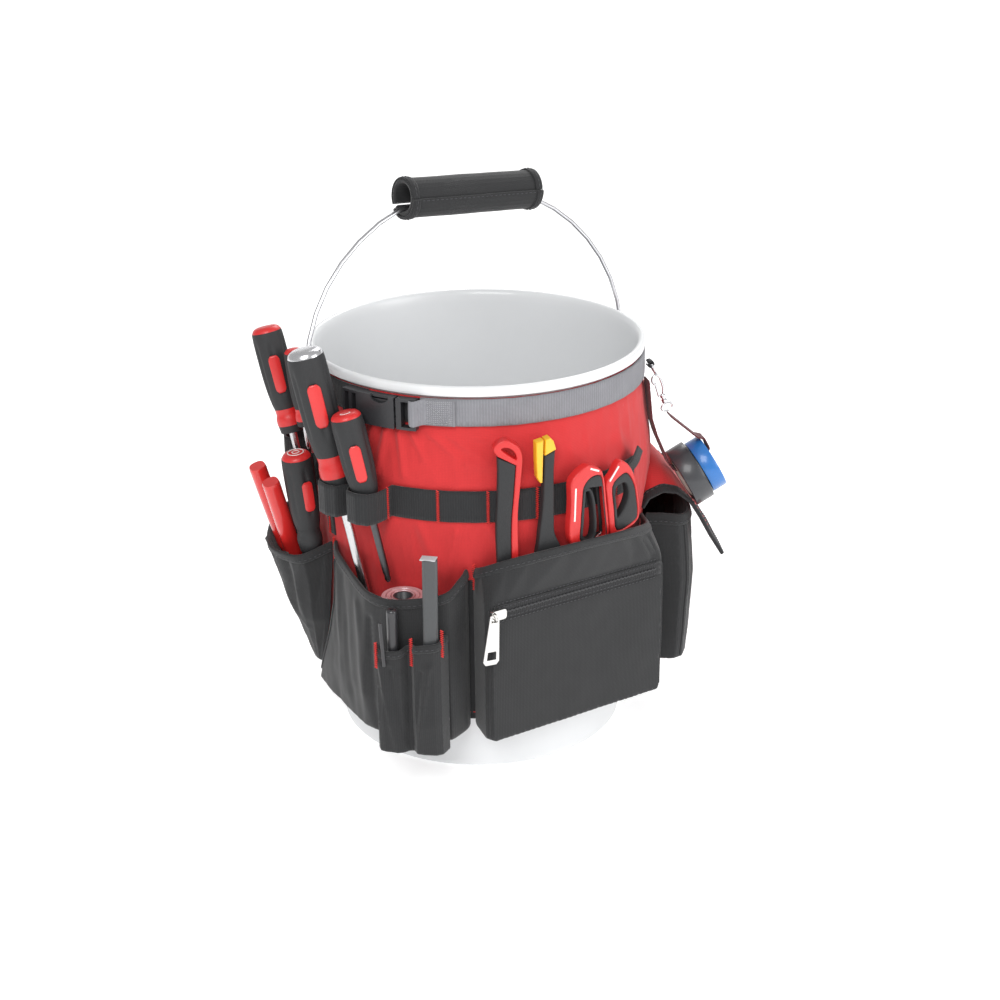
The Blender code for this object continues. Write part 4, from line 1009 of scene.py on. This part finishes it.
def make_hanger():
    cloth("tape_strap", MAROON_WEB, 4.0, 1)
    cloth("d_ring_tab", BLACK_WEB, 3.0, 0)
    dress("d_ring", CHROME)
    hook_low, hook_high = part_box("snap_hook")
    out = polar(98, 1, 0).normalized()
    low = Vector((hook_high.x, (hook_low.y + hook_high.y) / 2, hook_low.z))
    top = Vector((hook_low.x, (hook_low.y + hook_high.y) / 2, hook_high.z - 0.001))
    down = (low - top).normalized()
    side = (out - down * out.dot(down)).normalized()
    length = (low - top).length / MM
    place = frame_of(top, side, down)
    bend = ((-3.0, 6.0), (-3.6, 2.6), (-1.8, -0.6), (1.4, -1.2), (3.6, 1.4), (3.8, 6), (3.2, 12), (1.6, 16.5),
            (0, 18.6))
    hook = [at(place, x, y) for x, y in spline(bend, 6)]
    body = sweep("hook_body", hook, oval(1.25, 1.25, count=10), CHROME, [normal_of(place)] * len(hook))
    wear(body, "snap_hook", ("snap_hook",))
    barrel = [(0, 0.6), (1.8, 0.4), (2.5, -0.4), (2.6, -2.2), (1.9, -3.2), (1.9, -4.0), (2.9, -4.8),
              (2.9, -7.2), (2.1, -8.2), (0, -8.4)]
    axis = frame_of(at(place, 0, 18), side, normal_of(place))
    wear(lathe("hook_swivel", barrel, axis, CHROME, 28), "snap_hook")
    wire_ring("hook_eye", place, (0, length - 4.6, 0), (5.4, 3.4), 28, (1.1, 1.1), CHROME, "snap_hook")
    dress("hook_gate", CHROME)


# ---- hand tools

def fluted(grooves, depth, start, end):
    """Grooves around a grip between two heights, fading at their ends."""
    def shape(angle, height):
        t = (height - end) / (start - end)
        if not 0 < t < 1:
            return 1.0
        fade = min(t / 0.18, (1 - t) / 0.18, 1)
        wave_depth = max(math.cos(angle * grooves), 0) ** 2
        return 1 - depth * fade * wave_depth
    return shape


GRIP = ((0.0, 0.80), (0.035, 0.93), (0.10, 0.985), (0.22, 1.0), (0.45, 0.985), (0.60, 0.93), (0.72, 0.83),
        (0.775, 0.745), (0.82, 0.72), (0.865, 0.79), (0.91, 0.80), (0.95, 0.76), (1.0, 0.72))
GRIP_SHARES, GRIP_RADII = zip(*spline(GRIP, 8))


def grip_radius(share):
    """A grip's radius at a share of its length, as a share of its widest radius."""
    return float(np.interp(share, GRIP_SHARES, GRIP_RADII))


def make_driver(number, cap, collar, label_span, shank, emblem="", turn=0.0):
    """A screwdriver: cap, fluted grip, label, collar, ferrule and shank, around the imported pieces."""
    node = "screwdriver_%d_handle" % number
    name = "driver_%d_" % number
    axis = joint_axis("driver_%d_lift" % number)
    place, length = axis_frame(node, axis)
    viewer = place.inverted() @ Vector(CAMERA_PLACE)
    place = place @ Matrix.Rotation(math.atan2(viewer.y, viewer.x) + math.radians(turn), 4, "Z")
    low, high = local_extent(node, place)
    radius = (high.x - low.x) / 2
    flutes = fluted(6, 0.085, -0.10 * length, -0.66 * length)
    parts = (("grip", 0.05, 0.775, RUBBER, flutes, 0.0), ("collar", 0.772, 0.93, collar, None, 0.15),
             ("ferrule", 0.925, 1.0, RUBBER, None, 0.1))
    for part, start, end, material, shape, grow in parts:
        shares = [start + (end - start) * i / 26 for i in range(27)]
        rings = [(grip_radius(share) * radius + grow, -share * length) for share in shares]
        rings = [(0, rings[0][1])] + rings + [(0, rings[-1][1])]
        wear(lathe(name + part, rings, place, material, 72, shape), node, (node,) if shape else ())
    crown = [(0, -0.1), (radius * 0.35, -0.15), (radius * 0.62, -0.55), (radius * 0.76, -1.3),
             (radius * 0.86, -2.6), (radius * 0.925, -0.045 * length), (radius * 0.93, -0.052 * length),
             (0, -0.052 * length)]
    wear(lathe(name + "cap", crown, place, cap, 64), node)
    start, end = label_span
    rows = []
    for i in range(19):
        share = start + (end - start) * i / 18
        half = 20.0 * (1 - 0.5 * max(1 - min(i, 18 - i) / 2.2, 0) ** 2)
        r = grip_radius(share) * radius + 0.35
        turns = [math.radians(half * (k / 6 - 1)) for k in range(13)]
        rows.append([at(place, r * math.cos(a), r * math.sin(a), -share * length) for a in turns])
    wear(thicken(grid(name + "label", rows, LABEL_RED), 0.9, 0.0), node)
    if emblem == "dot":
        wire_ring(name + "emblem", place, (radius * 0.3, 0, -0.5), (radius * 0.16, radius * 0.3), 16,
                  (0.7, 0.4), PALE_PLASTIC_AND_HIGHLIGHT, node)
    if emblem == "ring":
        for part, share, height, count in (("emblem", 0.5, -0.15, 40), ("emblem_core", 0.24, 0.0, 6)):
            wire_ring(name + part, place, (0, 0, height), (radius * share, radius * share), count,
                      (0.5, 0.4), PALE_PLASTIC_AND_HIGHLIGHT, node)
    make_shank("screwdriver_%d_shank" % number, name, axis, shank)


def make_shank(node, name, axis, material):
    place, length = axis_frame(node, axis)
    low, high = local_extent(node, place)
    half = (high.x - low.x) / 2

    def hexagon(angle, height):
        return 1 - 0.09 * math.cos(angle * 6) if height > -length * 0.8 else 1.0

    rod = [(0, 0), (half, 0), (half, -length + 9), (half * 0.8, -length + 6), (half * 0.95, -length + 3),
           (half * 0.5, -length), (0, -length)]
    wear(lathe(name + "shank", rod, place, material, 36, hexagon), node, (node,))


def make_drivers():
    make_driver(1, RED_RUBBER, RED_RUBBER, (0.26, 0.61), STEEL)
    make_driver(2, CHROME, RED_RUBBER, (0.23, 0.54), STEEL)
    make_driver(3, RED_RUBBER, RED_RUBBER, (0.28, 0.62), DARK_STEEL, "dot")
    make_driver(4, RED_RUBBER, RUBBER, (0.26, 0.56), STEEL, "ring", 22)
    make_driver(5, RED_RUBBER, RED_RUBBER, (0.3, 0.6), STEEL)


def make_pliers():
    up = joint_axis("pliers_lift")
    normal = -joint_axis("pliers_close")
    place = frame_of(joint_place("pliers_close"), up.cross(normal), up)
    for node, side in (("pliers_far_half", 1), ("pliers_near_half", -1)):
        path = [(side * 5.0, 8), (side * 7.6, 22), (side * 9.4, 34), (side * 11.6, 60), (side * 14.0, 88),
                (side * 15.2, 108), (side * 15.6, 119)]
        path = spline(path, 6)
        world = [at(place, x, y) for x, y in path]
        sizes = []
        for _, y in path:
            tip = min(max((123.5 - y) / 7.5, 0.0), 1.0)
            sizes.append((0.6 + 0.4 * min(max((y - 20) / 14, 0), 1)) * math.sqrt(max(tip * (2 - tip), 0.02)))
        grip = sweep(node + "_grip", world, oval(7.4, 7.7, 2.5, 20), RED_GLOSS,
                     [normal_of(place)] * len(world), sizes=sizes)
        outline = [(-side * 1.8, -50), (-side * 5.0, -50), (-side * 8.6, -30), (-side * 8.4, -8),
                   (side * 1.5, 9), (side * 5, 26), (side * 12, 30), (side * 10.5, 8), (side * 8, -6),
                   (0, -12), (-side * 1.2, -28)]
        aside = place @ Matrix.Translation((0, 0, side * 2.15 * MM))
        jaw = slab(node + "_jaw", [outline], 3.8, aside, STEEL, 0.6)
        wear(grip, node, (node,))
        wear(jaw, node)


# Each bow: its outline, the edge between frame and lining, the opening, and the ends of its painted
# highlights, light strips laid along the bevel edges that catch the light.
FINGER_BOW = (
    ((-1.2, 104), (-3.8, 111), (-9, 116), (-14.9, 119.3), (-19.1, 119.6), (-26.9, 117), (-34.9, 110.5),
     (-36.4, 94.5), (-38.4, 80.5), (-40.2, 71.9), (-41.4, 57.8), (-38.6, 48), (-31.5, 43.8), (-20.8, 40.9),
     (-5.6, 39.1), (-0.8, 43), (-0.8, 58.5), (-1.1, 80)),
    ((-22.5, 101), (-15, 107), (-6.5, 106.3), (-2.9, 101), (-2.4, 79), (-2.4, 46), (-10, 44.2), (-30, 48.5),
     (-28.5, 68), (-25, 88)),
    ((-21, 97), (-23.5, 88), (-26.6, 70), (-27.6, 54), (-23, 49), (-18, 49), (-15, 62), (-15, 84),
     (-17.5, 95)),
    (((-31.2, 104), (-35.4, 73)), ((-14.6, 116.4), (-6, 110.6))))
THUMB_BOW = (
    ((1.2, 94), (8.3, 99.9), (14.3, 107.2), (18.9, 109.4), (25, 104.7), (30.8, 93.3), (33.1, 79.2),
     (34.2, 63.4), (34.5, 53), (31.8, 46), (26, 41.5), (7.9, 39.5), (1.6, 43), (1.2, 60), (1.2, 78)),
    ((7.4, 88.5), (16.5, 95.5), (24.5, 95.0), (30.6, 81), (32.2, 64), (32.2, 53), (28.5, 45.6), (8.8, 43.6),
     (7.6, 65)),
    ((10.5, 83), (14, 87.5), (21, 87), (23.8, 78), (22, 68.5), (16, 59.5), (11, 56.5), (9, 61)),
    (((15.4, 106.2), (4.6, 95.6)),))


def make_snips():
    up = joint_axis("snips_lift")
    normal = -joint_axis("snips_open")
    place = frame_of(joint_place("snips_open"), up.cross(normal), up) @ \
        Matrix.Rotation(math.radians(9.5), 4, "Z")
    for node, side, bow in (("snips_left_half", -1, FINGER_BOW), ("snips_right_half", 1, THUMB_BOW)):
        outer, frame_hole, hole = [spline(points, 3, True) for points in bow[:3]]
        wear(slab(node + "_bow", [outer, frame_hole], 8.4, place, RED_RUBBER, 1.5, 4), node, (node,))
        wear(slab(node + "_lining", [frame_hole, hole], 9.2, place, RUBBER, 2.0, 4), node)
        # Painted highlights: light strips on the bows' bevel edges, where the light catches them.
        for i, ends in enumerate(bow[3]):
            strip = [at(place, x, y, 4.1) for x, y in ends]
            inset_and_highlight = sweep("%s_inset_%d" % (node, i), strip, oval(0.9, 0.5, 3, 10), PALE_PLASTIC_AND_HIGHLIGHT,
                          [normal_of(place)] * 2)
            wear(inset_and_highlight, node)
        outline = [(side * 12, 44), (side * 5, 47), (side * 1, 28), (-side * 4, 2), (-side * 5.5, -40),
                   (-side * 0.6, -74), (side * 0.6, -74), (side * 2.6, -40), (4 * side, 0), (side * 9.5, 26)]
        aside = place @ Matrix.Translation((0, 0, side * 1.1 * MM))
        wear(slab(node + "_blade", [outline], 1.8, aside, STEEL, 0.4), node)


def blade_place(blade, lift, azimuth):
    """The place a flat tool was drawn in: y up the tool, x around the pail, origin at its neck."""
    up = joint_axis(lift)
    place = frame_of((0, 0, 0), tangent(azimuth), up)
    low, high = local_extent(blade, place)
    middle = (low + high) / 2
    place.translation = place.to_3x3() @ (Vector((middle.x, high.y + 30.4, middle.z)) * MM)
    return place


def make_stripper():
    place = blade_place("stripper_blade", "stripper_lift", 8)
    seam_line = [(6.6, 86.2), (5.6, 70), (4.6, 55), (3.2, 36.6), (2.9, 18), (3.2, 0), (2.6, -30)]
    left = [(-8.0, -30), (-9.2, 0), (-10.0, 28), (-9.0, 55), (-8.5, 78), (-9.0, 94.2)]
    grip = slab("stripper_grip", [spline(left, 4) + spline(seam_line, 3)], 8.8, place, RUBBER, 1.8, 4)
    wear(grip, "stripper_handle", ("stripper_handle",))
    right = [(8.0, -30), (9.0, 0), (8.3, 27), (8.5, 46), (10.0, 64), (11.6, 84), (11.8, 94), (9.5, 101.4),
             (4.3, 106), (-1.0, 109.3), (-4.3, 109.3), (-8.6, 107.4), (-12.0, 104), (-12.0, 100),
             (-9.2, 95.4)]
    hole = [(-5.8, 101), (-3.1, 102.8), (2.1, 101.3), (5.8, 96.9), (6.8, 91.5), (1.0, 95.0)]
    outlines = [spline(right, 3) + spline(seam_line, 3), spline(hole, 4, True)]
    cover = slab("stripper_cover", outlines, 9.8, place, RED_RUBBER, 1.3, 4)
    wear(cover, "stripper_handle")
    dress("stripper_blade", STEEL, 0.4)


def make_knife():
    place = blade_place("knife_blade", "knife_lift", 20)
    left = [(-7.0, -30), (-9.6, -4), (-8.2, 9.6), (-7.1, 23.6), (-5.3, 42), (-4.6, 60.5), (-4.6, 91.4)]
    right = [(5.0, 96.0), (4.6, 86), (4.4, 73), (5.2, 50), (5.8, 31), (6.2, 21.7), (8.0, 14.9), (13.0, 4.0),
             (13.6, -4), (9.0, -30)]
    grip = slab("knife_grip", [spline(left, 4) + spline(right, 4)], 8.2, place, RUBBER, 1.8, 4)
    wear(grip, "knife_handle", ("knife_handle",))
    cap = [(-4.4, 92.2), (5.5, 96.6), (3.0, 104.4), (0.2, 107.6), (-4.4, 106.6)]
    wear(slab("knife_cap", [cap], 9.0, place, YELLOW, 1.0), "knife_handle")
    lever = [(-12.6, 104.8), (-5.9, 106.2), (-5.9, 67.4), (-7.9, 67.4), (-10.8, 72.5), (-11.9, 88)]
    release = slab("knife_lever", [lever], 8.2, place, YELLOW, 1.2)
    wear(release, "knife_release", ("knife_release",))
    dress("knife_blade", STEEL, 0.3)


def make_small_contents():
    place, length = axis_frame("marker_pen", (0, 0, 1))
    low, high = local_extent("marker_pen", place)
    r = (high.x - low.x) / 2
    pen = [(0, -2.0), (1.3, -2.0), (1.5, -0.4), (2.6, 0), (3.6, -0.4), (r - 0.1, -1.6), (r, -3), (r, -40),
           (r - 0.3, -40.6), (r - 0.3, -42), (r, -42.6), (r, -length + 12), (2.0, -length + 2), (0, -length)]
    wear(lathe("pen_body", pen, place, PEN_BLACK, 40), "marker_pen", ("marker_pen",))
    clip = node_frame("pen_clip", tangent(-25), (0, 0, 1))
    low, high = local_extent("pen_clip", clip)
    ends = [(low.x + 1.8, high.y), (high.x - 1.8, low.y)]
    world = [at(clip, x, y) for x, y in spline(ends, 16)]
    arm = sweep("pen_clip_arm", world, oval(1.7, 0.9, 2.6, 12), PEN_BLACK, [normal_of(clip)] * len(world))
    wear(arm, "pen_clip", ("pen_clip",))
    dress("flat_pencil", PENCIL_GREY, 0.8)
    pencil_place = node_frame("flat_pencil", tangent(-13.8), (0, 0, 1))
    low, high = local_extent("flat_pencil", pencil_place)
    w, d = (high.x - low.x) / 2 - 1.4, (high.z - low.z) / 2 - 1.4
    end = pencil_place @ Matrix.Translation((0, high.y * MM, 0)) @ Matrix.Rotation(math.pi / 2, 4, "X")
    lid = [(-w, -d), (w, -d), (w, d), (-w, d)]
    wear(slab("pencil_end", [lid], 1.2, end, PENCIL_END, 0.4), "flat_pencil")
    make_spool()


def make_spool():
    place, length = axis_frame("solder_spool", (0, 0, 1))
    low, high = local_extent("solder_spool", place)
    r = (high.x - low.x) / 2
    core = r - 3.6
    reel = [(7.4, -0.4), (8.0, 0), (r - 1.6, 0.3), (r - 0.5, 0.1), (r, -0.8), (r - 0.3, -2.2),
            (r - 1.6, -3.0), (core, -3.4)]
    turns = 15
    for i in range(turns):
        h = -3.6 - (length - 7.2) * (i + 0.5) / turns
        reel += [(core - 0.25, h + 0.9), (core + 0.25, h)]
    reel += [(core, -length + 3.4), (r - 1.6, -length + 3.0), (r, -length + 1.6), (r - 1.0, -length),
             (8.0, -length), (7.4, -length), (7.4, -0.4)]
    wear(weld(lathe("spool_reel", reel, place, CHROME, 72)), "solder_spool", ("solder_spool",))
    label = [(8.6, 0.5), (r - 1.9, 0.62), (r - 1.7, 0.3), (8.6, 0.2), (8.6, 0.5)]
    wear(weld(lathe("spool_label", label, place, SPOOL_PINK, 72)), "solder_spool")
    hub = [(7.0, 0.3), (7.6, 0.5), (8.6, 0.5), (8.6, -0.2), (7.2, -length + 1), (7.0, -length + 1),
           (7.0, 0.3)]
    wear(weld(lathe("spool_hub", hub, place, BUCKLE_PLASTIC, 40)), "solder_spool")
    for i, q in enumerate((10.4, 14.6)):
        wire_ring("spool_ring_%d" % i, place, (0, 0, 0.6), (q, q), 40, (0.35, 0.25), WIRE_STEEL,
                  "solder_spool")


# ---- studio

def area(name, place, target, size, power):
    data = bpy.data.lights.new(name, "AREA")
    data.shape = "RECTANGLE"
    data.size, data.size_y = size
    data.energy = power
    lamp = bpy.data.objects.new(name, data)
    lamp.location = place
    lamp.rotation_euler = (Vector(target) - Vector(place)).to_track_quat("-Z", "Y").to_euler()
    bpy.context.scene.collection.objects.link(lamp)


def make_studio():
    world = bpy.data.worlds.new("studio")
    world.use_nodes = True
    tree = world.node_tree
    sky = tree.nodes["Background"]
    sky.inputs["Color"].default_value = (1.0, 1.0, 1.0, 1)
    strength = add_node(tree, "Math", {1: 0.5, 2: 0.5}, operation="MULTIPLY_ADD")
    tree.links.new(add_node(tree, "LightPath").outputs["Is Camera Ray"], strength.inputs[0])
    tree.links.new(strength.outputs[0], sky.inputs["Strength"])
    bpy.context.scene.world = world
    middle = (0, 0, 0.22)
    area("key", (-0.5, -2.0, 1.9), middle, (1.3, 1.3), 37)
    area("fill", (1.8, -1.0, 1.0), middle, (1.2, 1.2), 17)
    area("back", (0.6, 1.7, 1.7), middle, (1.6, 1.0), 22)
    paper = finish("paper", (0.93, 0.93, 0.93), 0.9, grain=0.004, scale=40, bump=0.01)
    shader = paper.node_tree.nodes["Principled BSDF"]
    shader.inputs["Emission Color"].default_value = (1, 1, 1, 1)
    shader.inputs["Emission Strength"].default_value = 0.42
    rows = []
    for y in range(-40, 41):
        height = -0.0004 if y < 30 else (y - 30) ** 2 * 0.012 - 0.0004
        rows.append([Vector((x * 0.25, y * 0.1, height)) for x in range(-16, 17)])
    floor = grid("floor", rows, paper)


def make_camera():
    data = bpy.data.cameras.new("camera")
    data.lens = 67.06
    data.sensor_width = 36
    camera = bpy.data.objects.new("camera", data)
    yaw, pitch, roll = (math.radians(a) for a in (1.449, 22.114, -0.635))
    ahead = Vector((math.sin(yaw) * math.cos(pitch), math.cos(yaw) * math.cos(pitch), -math.sin(pitch)))
    right = Vector((math.cos(yaw), -math.sin(yaw), 0))
    up = right.cross(ahead)
    x = right * math.cos(roll) + up * math.sin(roll)
    y = up * math.cos(roll) - right * math.sin(roll)
    place = Matrix((x, y, -ahead)).transposed().to_4x4()
    place.translation = CAMERA_PLACE
    camera.matrix_world = place
    bpy.context.scene.collection.objects.link(camera)
    bpy.context.scene.camera = camera
    bpy.context.scene.view_settings.view_transform = "Standard"


for make in (make_pail, make_bail, make_skirt, make_straps, make_buckle, make_bands, make_left_pockets,
             make_zip_pocket, make_right_pockets, make_flap, make_rolls, make_hanger, make_drivers,
             make_pliers, make_snips, make_stripper, make_knife, make_small_contents, make_studio,
             make_camera):
    make()
